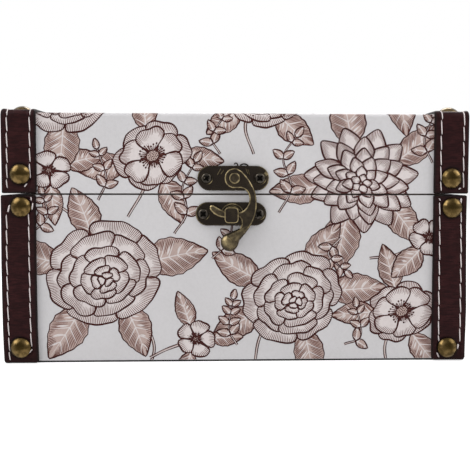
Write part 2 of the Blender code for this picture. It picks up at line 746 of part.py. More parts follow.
def build_hinge(hand, side, fasteners, axis):
    """A surface hinge of two leaves. The base leaf has the outer knuckles and the lid leaf the middle one."""
    middle = side * HINGE_SPACING / 2
    across = around(middle, HINGE_WIDTH)
    inner = around(middle, HINGE_WIDTH * KNUCKLE_SHARE)
    clear = KNUCKLE_RADIUS + FIT
    spread = KNUCKLE_GAP / 2
    for body, way, parent in (("base", -1, None), ("lid", 1, axis)):
        metal = finish(f"{body}_hinge_brass_{hand}", (0.3, 0.22, 0.1), 0.4, 1.0)
        low, high = sorted((hinge_height, hinge_height + way * HINGE_LEAF_HEIGHT))
        leaf = block(f"{body}_hinge_leaf_{hand}", (across[0], plate_back, low),
                     (across[1], plate_face, high), metal, parent, HINGE_CORNER_RADIUS, far_corners(way))
        if body == "base":
            bands = [(across[0], inner[0] - spread), (inner[1] + spread, across[1])]
            gaps = [(inner[0] - spread, inner[1] + spread)]
        else:
            bands = [(inner[0] + spread, inner[1] - spread)]
            gaps = [(across[0] - OVERRUN, inner[0] + spread), (inner[1] - spread, across[1] + OVERRUN)]
        near, far = sorted((hinge_height - way * OVERRUN, hinge_height + way * clear))
        for number, gap in enumerate(gaps):
            boolean(leaf, block_cutter(f"{body}_leaf_gap_{hand}_{number}",
                                       (gap[0], plate_back - OVERRUN, near),
                                       (gap[1], plate_face + OVERRUN, far)))
        shape = bmesh.new()
        for start, end in bands:
            place = Matrix.Translation(((start + end) / 2, hinge_line, hinge_height))
            bmesh.ops.create_cone(shape, cap_ends=True, segments=KNUCKLE_SIDES, radius1=KNUCKLE_RADIUS,
                                  radius2=KNUCKLE_RADIUS, depth=end - start,
                                  matrix=place @ Matrix.Rotation(pi / 2, 4, "Y"))
        boolean(leaf, cutter(f"{body}_knuckles_{hand}", to_mesh("knuckles", shape)), "UNION")
        drill(leaf, f"{body}_pin_hole_{hand}", [((middle, hinge_line, hinge_height), (1, 0, 0),
                                                 HINGE_PIN_RADIUS + FIT, HINGE_WIDTH + 2 * OVERRUN)])
        drill_for(leaf, picked(fasteners, f"{body}_hinge_screw", hand))


def far_corners(way):
    """Picks the two corners of a leaf that stand away from the hinge's line."""
    return lambda middle, direction: abs(direction.y) > ALONG_SHARE and middle.z * way > 0


def build_hinge_pin(hand, side):
    metal = finish(f"hinge_pin_brass_{hand}", (0.3, 0.22, 0.1), 0.4, 1.0)
    profile = [(0, HINGE_WIDTH / 2), (HINGE_PIN_RADIUS, HINGE_WIDTH / 2),
               (HINGE_PIN_RADIUS, -HINGE_WIDTH / 2), (0, -HINGE_WIDTH / 2)]
    turned(f"hinge_pin_{hand}", turned_mesh("hinge_pin_profile", profile, SCREW_STEPS), metal,
           (side * HINGE_SPACING / 2, hinge_line, hinge_height), (1, 0, 0))


def main():
    global parts, cutters
    clear_scene()
    parts = new_collection("tissue_box_cover")
    cutters = new_collection("cutters")
    lid_axis = axis_empty("lid_hinge_axis", (0, hinge_line, hinge_height))
    hook_pivot = axis_empty("hook_pivot_axis", (PIVOT_SHIFT, -hook_back, pivot_height), lid_axis)
    fasteners = all_studs() + all_screws()
    build_base(fasteners)
    build_lid(fasteners, lid_axis)
    build_fasteners(fasteners, lid_axis)
    build_catch(fasteners)
    build_hook_plate(fasteners, lid_axis)
    build_rivet(lid_axis)
    build_hook(hook_pivot)
    for side, hand in ((-1, "left"), (1, "right")):
        build_hinge(hand, side, fasteners, lid_axis)
        build_hinge_pin(hand, side)


main()
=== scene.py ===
"""The looks of a tissue box cover: white leather printed with plants, stitched straps, studs and a latch.

Lengths are in metres. The front faces -Y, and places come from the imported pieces.
"""
import json
import math
import random
from math import cos, pi, radians, sin

import bmesh
import bpy
import numpy as np
from mathutils import Matrix, Vector, noise


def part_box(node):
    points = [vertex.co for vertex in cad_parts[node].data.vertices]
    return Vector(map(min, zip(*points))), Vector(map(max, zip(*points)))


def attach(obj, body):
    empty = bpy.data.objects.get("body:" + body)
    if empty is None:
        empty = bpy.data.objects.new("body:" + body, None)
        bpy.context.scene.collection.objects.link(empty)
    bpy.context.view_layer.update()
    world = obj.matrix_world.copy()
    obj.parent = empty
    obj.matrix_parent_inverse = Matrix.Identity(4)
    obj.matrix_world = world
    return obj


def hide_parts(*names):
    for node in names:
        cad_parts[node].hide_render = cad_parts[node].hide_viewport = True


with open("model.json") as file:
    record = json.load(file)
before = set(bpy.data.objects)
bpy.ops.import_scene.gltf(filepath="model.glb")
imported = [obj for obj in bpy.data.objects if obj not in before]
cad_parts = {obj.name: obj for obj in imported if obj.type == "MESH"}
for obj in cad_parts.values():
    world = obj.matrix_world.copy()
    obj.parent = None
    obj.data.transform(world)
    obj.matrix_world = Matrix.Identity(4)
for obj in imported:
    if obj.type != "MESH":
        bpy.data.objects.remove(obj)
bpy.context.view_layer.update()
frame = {"nodes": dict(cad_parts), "record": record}

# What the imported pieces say
half_width, half_depth, base_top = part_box("base_cover")[1]
lid_bottom, lid_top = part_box("lid_cover")[0].z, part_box("lid_cover")[1].z
strap_low, strap_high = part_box("base_strap_front_right")
lid_strap_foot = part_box("lid_strap_right")[0].z
MM = 0.001

# Helpers for meshes


def new_object(name, data):
    """Puts an object in the scene."""
    item = bpy.data.objects.new(name, data)
    bpy.context.scene.collection.objects.link(item)
    return item


def new_piece(name, mesh, body, finish, slot, *nodes):
    """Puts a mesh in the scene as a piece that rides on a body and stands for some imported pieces."""
    piece = new_object(name, mesh)
    if finish is not None:
        mesh.materials.append(finish)
    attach(piece, body)
    if nodes:
        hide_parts(*nodes)


def finished(shape, name, angle=radians(40), merge=1e-6):
    """Closes seams, turns the faces outwards and shades the mesh smooth."""
    if merge:
        bmesh.ops.remove_doubles(shape, verts=shape.verts, dist=merge)
    bmesh.ops.recalc_face_normals(shape, faces=shape.faces)
    mesh = bpy.data.meshes.new(name)
    shape.to_mesh(mesh)
    shape.free()
    mesh.shade_smooth()
    mesh.set_sharp_from_angle(angle=angle)
    return mesh


def middle_of(node):
    """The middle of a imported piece's box."""
    low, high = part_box(node)
    return (low + high) / 2


def close_holes(shape):
    """Fills every open ring of edges with a face."""
    bmesh.ops.holes_fill(shape, edges=[edge for edge in shape.edges if edge.is_boundary], sides=0)


def add_grid(shape, across, along, place):
    """A grid whose vertices go where place(a, b) puts them, a and b from 0 to 1. Its UV map keeps a and b."""
    map_layer = shape.loops.layers.uv.verify()
    made = bmesh.ops.create_grid(shape, x_segments=across, y_segments=along, size=1)
    spots = {vertex: ((vertex.co.x + 1) / 2, (vertex.co.y + 1) / 2) for vertex in made["verts"]}
    for face in {face for vertex in made["verts"] for face in vertex.link_faces}:
        for loop in face.loops:
            loop[map_layer].uv = spots[loop.vert]
    for vertex, (a, b) in spots.items():
        vertex.co = place(a, b)


def turned(shape, profile, steps, matrix=Matrix.Identity(4)):
    """A profile of (radius, height) turned about +Z, and set down by a matrix."""
    before = set(shape.verts)
    points = [shape.verts.new((radius, 0, height)) for radius, height in profile]
    edges = [shape.edges.new(pair) for pair in zip(points, points[1:])]
    bmesh.ops.spin(shape, geom=points + edges, cent=(0, 0, 0), axis=(0, 0, 1), angle=2 * pi, steps=steps,
                   use_merge=True)
    made = [vertex for vertex in shape.verts if vertex not in before]
    bmesh.ops.transform(shape, matrix=matrix, verts=made)


def add_wire(shape, path, radii, depth, around):
    """A round bar along points in front. radii is one radius, or one for each point. Its ends close."""
    path = [Vector(point) for point in path]
    radii = list(radii) if isinstance(radii, (list, tuple)) else [radii] * len(path)
    path = [path[0], *path, path[-1]]
    radii = [0, *radii, 0]

    def place(a, b):
        number = round(b * (len(path) - 1))
        ahead = path[min(number + 1, len(path) - 1)] - path[max(number - 1, 0)]
        side = Vector((ahead.z, 0, -ahead.x)).normalized()
        turn = 2 * pi * a
        return path[number] + radii[number] * (side * cos(turn) - Vector((0, depth, 0)) * sin(turn))

    add_grid(shape, around, len(path) - 1, place)


def step_between(value, low, high):
    """Rises smoothly from 0 at low to 1 at high."""
    share = min(1.0, max(0.0, (value - low) / (high - low)))
    return share * share * (3 - 2 * share)


def bump(distance, half):
    """Falls smoothly from 1 at no distance to almost nothing at twice half."""
    return math.exp(-(distance / half) ** 2)


# Helpers for materials

# Most of what a cloud of noise gives lies between these
CLOUD = (0.3, 0.7)


def set_inputs(tree, node, inputs):
    """Each input gets a plain value, or a link from the output of another node."""
    for key, value in inputs.items():
        if isinstance(value, bpy.types.NodeSocket):
            tree.links.new(value, node.inputs[key])
        else:
            node.inputs[key].default_value = value


def add_node(tree, kind, inputs, **settings):
    """A shader node with its settings and its inputs."""
    node = tree.nodes.new(kind)
    for key, value in settings.items():
        setattr(node, key, value)
    set_inputs(tree, node, inputs)
    return node


class Finish:
    """A surface finish, and the few node chains that the finishes here share."""

    def __init__(self, name, roughness, metallic=0.0, coordinates="Object"):
        self.material = bpy.data.materials.new(name)
        self.material.use_nodes = True
        self.tree = self.material.node_tree
        self.shader = self.tree.nodes["Principled BSDF"]
        self.set(Roughness=roughness, Metallic=metallic)
        self.place = add_node(self.tree, "ShaderNodeTexCoord", {}).outputs[coordinates]

    def set(self, **inputs):
        """Sets or links the shader's own sockets."""
        set_inputs(self.tree, self.shader, {key.replace("_", " "): value for key, value in inputs.items()})

    def stretched(self, scale):
        """The coordinates, scaled unlike along each axis."""
        return add_node(self.tree, "ShaderNodeMapping", {"Vector": self.place, "Scale": scale}).outputs[0]

    def cloud(self, scale, detail=3.0, roughness=0.5, place=None, distortion=0.0):
        """Soft noise from 0 to 1."""
        return add_node(self.tree, "ShaderNodeTexNoise",
                        {"Vector": place or self.place, "Scale": scale, "Detail": detail,
                         "Roughness": roughness, "Distortion": distortion}).outputs["Fac"]

    def cells(self, scale):
        """Leather grain: small cells with raised borders."""
        return add_node(self.tree, "ShaderNodeTexVoronoi",
                        {"Vector": self.place, "Scale": scale}).outputs["Distance"]

    def bands(self, place, scale, direction, **inputs):
        """Even bands, from 0 to 1."""
        return add_node(self.tree, "ShaderNodeTexWave", {"Vector": place, "Scale": scale, **inputs},
                        wave_type="BANDS", bands_direction=direction).outputs["Fac"]

    def attribute(self, name):
        return add_node(self.tree, "ShaderNodeAttribute", {}, attribute_name=name).outputs["Fac"]

    def number(self, operation, first, second):
        """Adds or multiplies two values. Each is a number or the output of a node."""
        return add_node(self.tree, "ShaderNodeMath", {0: first, 1: second}, operation=operation).outputs[0]

    def range(self, value, low, high, to_low=0.0, to_high=1.0):
        """Takes a value smoothly from one range to another."""
        inputs = {"Value": value, "From Min": low, "From Max": high, "To Min": to_low, "To Max": to_high}
        return add_node(self.tree, "ShaderNodeMapRange", inputs,
                        interpolation_type="SMOOTHSTEP").outputs["Result"]

    def mix(self, share, *colours):
        """A colour between two. Each is a colour or the output of a node."""
        first, second = [(*colour, 1) if isinstance(colour, tuple) else colour for colour in colours]
        return add_node(self.tree, "ShaderNodeMix", {"Factor": share, 6: first, 7: second},
                        data_type="RGBA").outputs[2]

    def relief(self, height, distance, strength):
        """Bumps of a real height. Several calls lie on each other."""
        inputs = {"Height": height, "Distance": distance, "Strength": strength}
        if self.shader.inputs["Normal"].is_linked:
            inputs["Normal"] = self.shader.inputs["Normal"].links[0].from_socket
        self.set(Normal=add_node(self.tree, "ShaderNodeBump", inputs).outputs["Normal"])


# Finishes


def printed_leather(name, light, dark, shine):
    """Pale leather cloth with a fine grain. The ink lies in the grain, so the inks are made here too."""
    finish = Finish(name, 0.5)
    finish.set(Specular_IOR_Level=shine)
    mottle = finish.range(finish.cloud(45, 2), *CLOUD)
    speck = finish.range(finish.cloud(900, 2), 0.35, 0.75)
    both = finish.number("ADD", finish.number("MULTIPLY", mottle, 0.5), finish.number("MULTIPLY", speck, 0.5))
    finish.set(Base_Color=finish.mix(both, light, dark))
    finish.relief(finish.cells(1500), 0.00005, 0.5)
    finish.relief(finish.cloud(3200, 4), 0.00004, 0.5)
    finish.relief(finish.cloud(60, 2), 0.0004, 0.25)
    finish.set(Roughness=finish.range(finish.cloud(700), *CLOUD, 0.46, 0.6))
    return finish.material


def old_brass(name, dark, bright, dents, roughness, blotches):
    """Brass with a dark finish that handling has worn off its ridges, and with painted highlights and painted
    reflections, all set by one brightness attribute. Below 0 the colour runs to near black: painted shade in
    the screw recesses, and a darker tone on the plate faces.
    """
    finish = Finish(name, roughness, 1.0)
    rubbed_and_painted_light = finish.attribute("rubbed_and_painted_light")
    uneven = finish.number("MULTIPLY", rubbed_and_painted_light, finish.range(finish.cloud(420, 2), 0.35, 0.65, 0.55, 1.15))
    patches = finish.range(finish.cloud(230, 3, 0.55), 0.35, 0.8, 0.0, blotches)
    metal = finish.mix(finish.range(finish.number("ADD", uneven, patches), 0.0, 1.0), dark, bright)
    # Below 0: painted shade in the screw recesses, and a darker tone on the plate faces
    finish.set(Base_Color=finish.mix(finish.range(rubbed_and_painted_light, -0.3, 0.0), (0.004, 0.0035, 0.003), metal))
    finish.set(Roughness=finish.range(finish.cloud(900, 3), *CLOUD, roughness - 0.05, roughness + 0.1))
    finish.relief(finish.cloud(dents, 2), 0.00008, 0.4)
    finish.relief(finish.cloud(2600, 3), 0.00002, 0.35)
    return finish.material


def strap_leather():
    """Dark red leather, creased across the strap with painted shade in the creases, and darker where its
    "edge" attribute is high: at its edges, and round the studs with dirt and a painted shadow.
    """
    finish = Finish("strap_leather", 0.45)
    finish.set(Specular_IOR_Level=0.06)
    mottle = finish.range(finish.cloud(180, 4), 0.32, 0.7)
    base = finish.mix(mottle, (0.0225, 0.0062, 0.0066), (0.0325, 0.0094, 0.0098))
    creases = finish.cloud(1, 4, 0.6, finish.stretched((230, 230, 1500)), 0.3)
    # Painted shade in the creases
    crease_shaded = finish.mix(finish.range(creases, 0.35, 0.62), (0.0145, 0.0044, 0.0049), base)
    finish.set(Base_Color=finish.mix(finish.attribute("edge"), crease_shaded, (0.0095, 0.0055, 0.0054)))
    finish.relief(creases, 0.00014, 0.6)
    finish.relief(finish.cells(1100), 0.00006, 0.6)
    finish.set(Roughness=finish.range(finish.cloud(500), *CLOUD, 0.34, 0.5))
    return finish.material


def thread():
    """Off-white thread of two plies, whose twist follows each stitch's own map."""
    finish = Finish("thread", 0.75, coordinates="UV")
    twist = finish.bands(finish.stretched((1, 5, 1)), 1.6, "DIAGONAL")
    finish.set(Base_Color=finish.mix(twist, (0.57, 0.495, 0.49), (0.89, 0.81, 0.8)))
    finish.relief(twist, 0.00012, 0.6)
    return finish.material


def board_wood():
    """Fibreboard with fibres along the box."""
    finish = Finish("board_wood", 0.75)
    fibres = finish.cloud(1, 5, 0.6, finish.stretched((90, 900, 900)))
    finish.set(Base_Color=finish.mix(finish.range(fibres, *CLOUD), (0.35, 0.235, 0.135), (0.56, 0.42, 0.28)))
    finish.relief(fibres, 0.0001, 0.4)
    return finish.material


def lining_cloth():
    """Plain woven cloth, whose threads show on walls that face any way."""
    finish = Finish("lining_cloth", 0.9)
    finish.set(Sheen_Weight=0.4)
    weft, warp, rise = [finish.bands(finish.place, 420, direction, **{"Distortion": 1.2, "Detail Scale": 3})
                        for direction in "XYZ"]
    threads = finish.number("MULTIPLY", finish.number("ADD", weft, warp), rise)
    blotch = finish.range(finish.cloud(35, 3), *CLOUD)
    low = finish.mix(blotch, (0.2, 0.15, 0.115), (0.25, 0.19, 0.15))
    finish.set(Base_Color=finish.mix(finish.range(threads, 0.1, 1.2), low, (0.42, 0.34, 0.27)))
    finish.relief(threads, 0.0001, 0.5)
    return finish.material


def underside_paper():
    """Nearly black paper under the box."""
    finish = Finish("underside_paper", 0.9)
    fibres = finish.cloud(700, 5, 0.7)
    share = finish.range(fibres, *CLOUD)
    finish.set(Base_Color=finish.mix(share, (0.013, 0.012, 0.012), (0.03, 0.028, 0.028)))
    finish.relief(fibres, 0.00008, 0.5)
    return finish.material


# The leather and the inks on it: the light and the dark tint, and the shine
LEATHERS = {
    "printed_leather": ((0.6, 0.587, 0.598), (0.557, 0.544, 0.552), 0.35),
    "outline_ink": ((0.048, 0.0095, 0.008), (0.028, 0.0055, 0.005), 0.15),
    "hatch_ink": ((0.14, 0.054, 0.042), (0.082, 0.028, 0.022), 0.15),
    "petal_tint": ((0.665, 0.607, 0.598), (0.605, 0.545, 0.537), 0.35),
    "leaf_tint": ((0.475, 0.362, 0.33), (0.395, 0.3, 0.27), 0.35),
    "vein_tint": ((0.65, 0.6, 0.595), (0.59, 0.54, 0.535), 0.35),
}
# The metals: dark and bright colour, how fine their dents are, roughness, and how bright their blotches are
METALS = {
    "stud_brass": ((0.03, 0.0195, 0.006), (0.31, 0.208, 0.084), 380, 0.2, 0.16),
    "latch_bronze": ((0.0195, 0.0155, 0.0125), (0.36, 0.285, 0.15), 700, 0.27, 0.1),
    "latch_screws": ((0.021, 0.0185, 0.0165), (0.33, 0.285, 0.225), 700, 0.3, 0.1),
    "hinge_brass": ((0.13, 0.085, 0.035), (0.45, 0.33, 0.16), 700, 0.3, 0.3),
}
finishes = {name: printed_leather(name, *look) for name, look in LEATHERS.items()}
finishes |= {name: old_brass(name, *look) for name, look in METALS.items()}
finishes |= {"strap_leather": strap_leather(), "thread": thread(), "board_wood": board_wood(),
             "lining_cloth": lining_cloth(), "underside_paper": underside_paper()}


def dress_packed_pieces():
    """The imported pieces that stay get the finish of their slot."""
    slots = {part["node"]: part["material_slot"] for part in frame["record"]["subparts"]}
    for name, node in frame["nodes"].items():
        node.data.materials.clear()
        node.data.materials.append(finishes[slots[name]])


# Straps

STRAP_WIDTH = strap_high.x - strap_low.x
STRAP_THICKNESS = strap_high.y - strap_low.y
# The hidden back lies a little under the cover
STRAP_BACK = -0.00025
STRAP_EDGE_ROUND = 0.001
SHARP_CORNER, WORN_CORNER = 0.0007, 0.0014
LID_FOLD = 0.0017
LID_STRAP_DROP = 0.0003
BASE_STRAP_DROP = {-1: 0.0005, 1: 0.0003}
# How much lower the lid straps lie over the lid than over its front
PRESSED = 0.0004

# How far the outer edges stray outwards: those of the base straps from foot to top, in millimetres
BASE_STRAP_STRAYS = {-1: (0.35, 0.6, 0.8, 0.85, 0.9, 0.9, 0.9, 0.8, 0.7, 0.62, 0.55),
                     1: (0.1, 0.25, 0.42, 0.5, 0.4, 0.28, 0.15, 0.08, -0.06, -0.15, 0.0)}
LID_STRAP_STRAYS = {-1: 0.0, 1: 0.45}
# How much of that the inner edges stray
INNER_STRAY_SHARES = {-1: 0.85, 1: 0.0}

# How far the rows of stitches lie in from the outer and from the inner edge, and the groove that each lies in
OUTER_ROW = 0.0024
INNER_ROW = 0.003
GROOVE = 0.0005
GROOVE_HALF = 0.0005
SOFT_MIDDLE = 0.00045
THREAD_RADIUS = 0.00028
STITCH_PITCH = 0.0073
STITCH_GAP = 0.0001
STITCH_LEAN = 0.0002
STITCH_DIP = 0.0006

# Round a stud the leather bulges, is pressed in under the head, and holds dirt with a painted shadow
BULGE, BULGE_REACH, BULGE_HALF = 0.0001, 0.0066, 0.0012
PRESS, PRESS_REACH = 0.00045, 0.0056
DIRT_AND_SHADOW, DIRT_AND_SHADOW_REACH, DIRT_AND_SHADOW_HALF = 0.9, 0.0048, 0.0007

# How far apart the points along a strap are, on its legs and near a stud
STATION, NEAR_STUD = 0.0013, 0.00065

# The outer and the inner row of a strap: where the first and the second stitch begin, and how far from the
# strap's other end the row stops
ANY_ROWS = ((0.0015, 0.0088, 0.0012), (0.0023, 0.0096, 0.0012))
STITCH_ROWS = {
    "lid_strap_left": ((0.0024, 0.0069, 0.0012), (0.007, 0.0143, 0.0012)),
    "lid_strap_right": ((0.0025, 0.0104, 0.0012), (0.0012, 0.0062, 0.0012)),
    "base_strap_front_left": ((0.0012, 0.0057, 0.0089), (0.0077, 0.0147, 0.0086)),
    "base_strap_front_right": ((0.0087, 0.0157, 0.0052), (0.0091, 0.0122, 0.003)),
}
# How far the outer and the inner row lie further in, at the foot and at the top of the front, in millimetres
STRAIGHT_ROWS = ((0, 0), (0, 0))
ROW_COURSES = {
    "lid_strap_left": ((0.1, 0.55), (0.0, 0.5)),
    "lid_strap_right": ((0.0, 0.0), (-0.25, -0.35)),
    "base_strap_front_left": ((0.35, 0.35), (0.0, 0.0)),
    "base_strap_front_right": ((0.15, 0.5), (-0.5, 0.33)),
}
# Single stitches that turn in beside the studs: from (along, inward) to (along, inward), their radius,
# and how far they lie over the bottom of the groove
TURNED_IN = {
    "lid_strap_left": ((0.0046, 0.0119, 0.003, 0.0108, 0.0004, 0),),
    "lid_strap_right": ((0.0029, 0.0039, 0.002, 0.0045, 0.00045, 0),),
    "base_strap_front_left": ((0.0069, 0.0136, 0.0044, 0.0114, 0.0004, 0),
                              (0.0757, 0.0044, 0.0722, 0.0035, 0.00045, 0),
                              (0.0767, 0.0152, 0.0733, 0.0147, 0.0003, 0.0004),
                              (0.0795, 0.0143, 0.0776, 0.0145, 0.00025, 0.0004)),
    "base_strap_front_right": ((0.0038, 0.0138, 0.0013, 0.0127, 0.0004, 0),
                               (0.0078, 0.0035, 0.0053, 0.0039, 0.00045, 0),
                               (0.0787, 0.0137, 0.0776, 0.0131, 0.00036, 0),
                               (0.0789, 0.0029, 0.0752, 0.0032, 0.0004, 0)),
}


def quarter_round(reach, steps=5):
    """Distances from an edge that is rounded over a reach, closer together towards the edge."""
    return [reach * (1 - cos(pi / 2 * i / steps)) for i in range(steps + 1)]


def strap_section():
    """Distances across a strap where its section needs a point."""
    rim = quarter_round(STRAP_EDGE_ROUND)
    points = rim + [STRAP_WIDTH - value for value in rim]
    outer, inner = OUTER_ROW, STRAP_WIDTH - INNER_ROW
    for offset in (-0.0008, -0.0005, -0.00025, 0, 0.00025, 0.0005, 0.0008, 0.0012):
        points += [outer + offset, inner + offset]
    points += [outer + (inner - outer) * (0.16 + 0.68 * i / 9) for i in range(10)]
    return sorted(points)


def strap_level(inward, edge, rows):
    """How thick a strap is: stiff margins, two grooves and a softer middle. edge is how far its rim is."""
    groove = max(bump(inward - row, GROOVE_HALF) for row in rows)
    middle = (step_between(inward, rows[0] - 0.0003, rows[0] + 0.001)
              * step_between(STRAP_WIDTH - inward, INNER_ROW - 0.0003, INNER_ROW + 0.001))
    across = min(1.0, max(0.0, (inward - rows[0]) / (rows[1] - rows[0])))
    level = STRAP_THICKNESS - middle * (SOFT_MIDDLE - 0.00015 * sin(pi * across))
    level -= GROOVE * groove * step_between(edge, 0.0009, 0.0016)
    back = max(0.0, 1 - edge / STRAP_EDGE_ROUND)
    return level * (0.45 + 0.55 * math.sqrt(max(0.0, 1 - back ** 2)))


def rounded(point):
    """A point as a key, to find it again in a mesh."""
    return tuple(round(value, 6) for value in point)


class Strap:
    """A strap and its stitches. Places on it are (along, inward), from its start and its straight outer edge.

    Its back follows legs, each a (length, turn), from start in a heading, in the (y, z) plane across the box.
    """

    def __init__(self, kind, hand, side, seed, start, heading, legs, corners):
        self.kind, self.hand, self.side, self.seed = kind, hand, side, seed
        self.start, self.heading, self.legs, self.corners = Vector(start), heading, legs, corners
        self.node = f"{kind}_{hand}"
        self.body = kind.split("_")[0]
        self.outer = side * strap_high.x
        self.length = sum(leg[0] for leg in legs)
        self.studs = self.stud_spots()

    def at(self, along):
        """The place of the back at a distance from the start, and the outward direction there."""
        place, heading, left = self.start.copy(), self.heading, along
        for number, (length, turn) in enumerate(self.legs):
            step = left if number == len(self.legs) - 1 else min(left, length)
            if turn == 0:
                place += step * Vector((cos(heading), sin(heading)))
            else:
                radius = length / turn
                ahead = heading + step / radius
                place += radius * Vector((sin(ahead) - sin(heading), cos(heading) - cos(ahead)))
                heading = ahead
            left -= step
            if left <= 0:
                break
        return place, Vector((-sin(heading), cos(heading)))

    def point(self, along, inward, level, sideways=0.0):
        """The point at a level over a place on the strap."""
        place, out = self.at(along)
        x = self.outer - self.side * self.strayed(inward, place.y, along) + sideways
        return Vector((x, place.x + out.x * level, place.y + out.y * level))

    def strayed(self, inward, height, along):
        """How far in from the straight outer edge a place really lies."""
        stray = LID_STRAP_STRAYS[self.side]
        if self.body == "base":
            strays = BASE_STRAP_STRAYS[self.side]
            share = (height - strap_low.z) / (strap_high.z - strap_low.z)
            stray = float(np.interp(share, np.linspace(0, 1, len(strays)), strays))
        wander = noise.noise(Vector((along * 45, self.seed, 0))) * 0.00012
        return inward + wander - stray * MM * (1 - (1 - INNER_STRAY_SHARES[self.side]) * inward / STRAP_WIDTH)

    def stud_spots(self):
        """Where the strap's studs stand, to the nearest half millimetre along."""
        marks = [i * 0.5 * MM for i in range(int(self.length / (0.5 * MM)))]
        spots = []
        for name in frame["nodes"]:
            middle = middle_of(name)
            if name.startswith(self.kind.replace("strap", "stud")) and middle.x * self.side > 0:
                seat = Vector((middle.y, middle.z))
                near = min(marks, key=lambda along: (seat - self.at(along)[0]).length)
                spots.append((near, abs(self.outer - middle.x)))
        return spots

    def stations(self):
        """Distances along the strap, closer together at its ends, in its turns and round its studs."""
        marks = quarter_round(self.corners[0])
        marks += [self.length - mark for mark in quarter_round(self.corners[1])]
        reached = 0
        for length, turn in self.legs:
            steps = max(2, round(length / STATION)) if turn == 0 else 8
            marks += [reached + length * i / steps for i in range(steps)]
            reached += length
        marks += [stud[0] + i * NEAR_STUD for stud in self.studs for i in range(-10, 11)]
        kept = [0.0]
        for mark in sorted(marks):
            if mark - kept[-1] > 0.00004 and self.length - mark > 0.00004:
                kept.append(mark)
        return kept + [self.length]

    def rows(self, along):
        """Where the two rows of stitches lie, in from the outer edge. They wander a little."""
        rows, share = [], min(1.0, along / self.legs[0][0])
        courses = ROW_COURSES.get(self.node, STRAIGHT_ROWS)
        for number, (row, (foot, top)) in enumerate(zip((OUTER_ROW, STRAP_WIDTH - INNER_ROW), courses)):
            wander = noise.noise(Vector((along * 22, self.seed, number * 9))) * 0.0004
            rows.append(row + (foot + (top - foot) * share) * MM + wander)
        return rows

    def make_leather(self):
        """The leather, with turned edges. Its "edge" attribute is high at the rim and round the studs."""
        inwards, stations = strap_section(), self.stations()
        count = len(inwards)
        rims, dirt_and_shadow = {}, {}

        def place(a, b):
            column = round(a * 2 * count) % (2 * count)
            on_top = column < count
            inward = inwards[column] if on_top else inwards[2 * count - 1 - column]
            along = stations[round(b * (len(stations) - 1))]
            corner = self.corners[0] if along < self.length / 2 else self.corners[1]
            back = max(0.0, 1 - min(along, self.length - along) / corner)
            drawn = corner * (1 - math.sqrt(max(0.0, 1 - back ** 2)))
            inward = min(max(inward, drawn), STRAP_WIDTH - drawn)
            edge = min(inward - drawn, STRAP_WIDTH - drawn - inward, along, self.length - along)
            level, seat = strap_level(inward, edge, self.rows(along)), 0.0
            for stud_along, stud_inward in self.studs:
                near = math.hypot(along - stud_along, inward - stud_inward)
                level += BULGE * bump(near - BULGE_REACH, BULGE_HALF)
                level -= PRESS * math.exp(-(near / PRESS_REACH) ** 6)
                # A darker ring round each stud: dirt, and a painted shadow
                seat = max(seat, DIRT_AND_SHADOW * bump(max(0.0, near - DIRT_AND_SHADOW_REACH), DIRT_AND_SHADOW_HALF))
            level += noise.noise(Vector((along * 140, inward * 300, self.seed))) * 0.00008
            point = self.point(along, inward, level if on_top else STRAP_BACK)
            rims[rounded(point)], dirt_and_shadow[rounded(point)] = edge, seat
            return point

        shape = bmesh.new()
        add_grid(shape, 2 * count, len(stations) - 1, place)
        layer = shape.verts.layers.float.new("edge")
        for vertex in shape.verts:
            edge, seat = rims.get(rounded(vertex.co), 0.0), dirt_and_shadow.get(rounded(vertex.co), 0.0)
            margin = 0.25 * (1 - step_between(edge, 0.0012, INNER_ROW))
            vertex[layer] = max(margin, seat, bump(edge, 0.0009))
        bmesh.ops.remove_doubles(shape, verts=shape.verts, dist=1e-7)
        close_holes(shape)
        name = f"{self.kind}_leather_{self.hand}"
        mesh = finished(shape, name, radians(60), 0)
        new_piece(name, mesh, self.body, finishes["strap_leather"], "strap_leather", self.node)

    def add_stitch(self, shape, start, end, radius=THREAD_RADIUS, lift=0.0):
        """One stitch between two holes. It comes up, lies in the groove and dips again."""
        start, end = Vector(start), Vector(end)
        bottom = STRAP_THICKNESS - GROOVE + lift

        def place(a, b):
            middle = sin(pi * (b - 0.5))
            along, inward = start.lerp(end, (1 + middle) / 2)
            swell = radius * math.sqrt(max(0.0, 1 - middle ** 8))
            level = bottom + radius * 0.7 - STITCH_DIP * middle ** 10 + swell * sin(2 * pi * a)
            return self.point(along, inward, level, swell * cos(2 * pi * a))

        add_grid(shape, 6, 8, place)

    def make_stitches(self):
        """Two rows of thread, and the few stitches that turn in beside the studs."""
        shape = bmesh.new()
        lean = self.side * STITCH_LEAN
        for row, (first, second, last) in enumerate(STITCH_ROWS.get(self.node, ANY_ROWS)):
            stop = self.length - last
            starts = [first]
            while second < stop - STITCH_PITCH * 0.3:
                starts.append(second)
                second += STITCH_PITCH
            for begin, after in zip(starts, starts[1:] + [min(second, stop)]):
                inward = self.rows((begin + after) / 2)[row]
                self.add_stitch(shape, (begin, inward - lean), (after - STITCH_GAP, inward + lean))
        for *ends, radius, lift in TURNED_IN.get(self.node, ()):
            self.add_stitch(shape, ends[:2], ends[2:], radius, lift)
        name = f"{self.kind}_stitches_{self.hand}"
        mesh = finished(shape, name, radians(80), 2e-6)
        new_piece(name, mesh, self.body, finishes["thread"], "strap_leather")


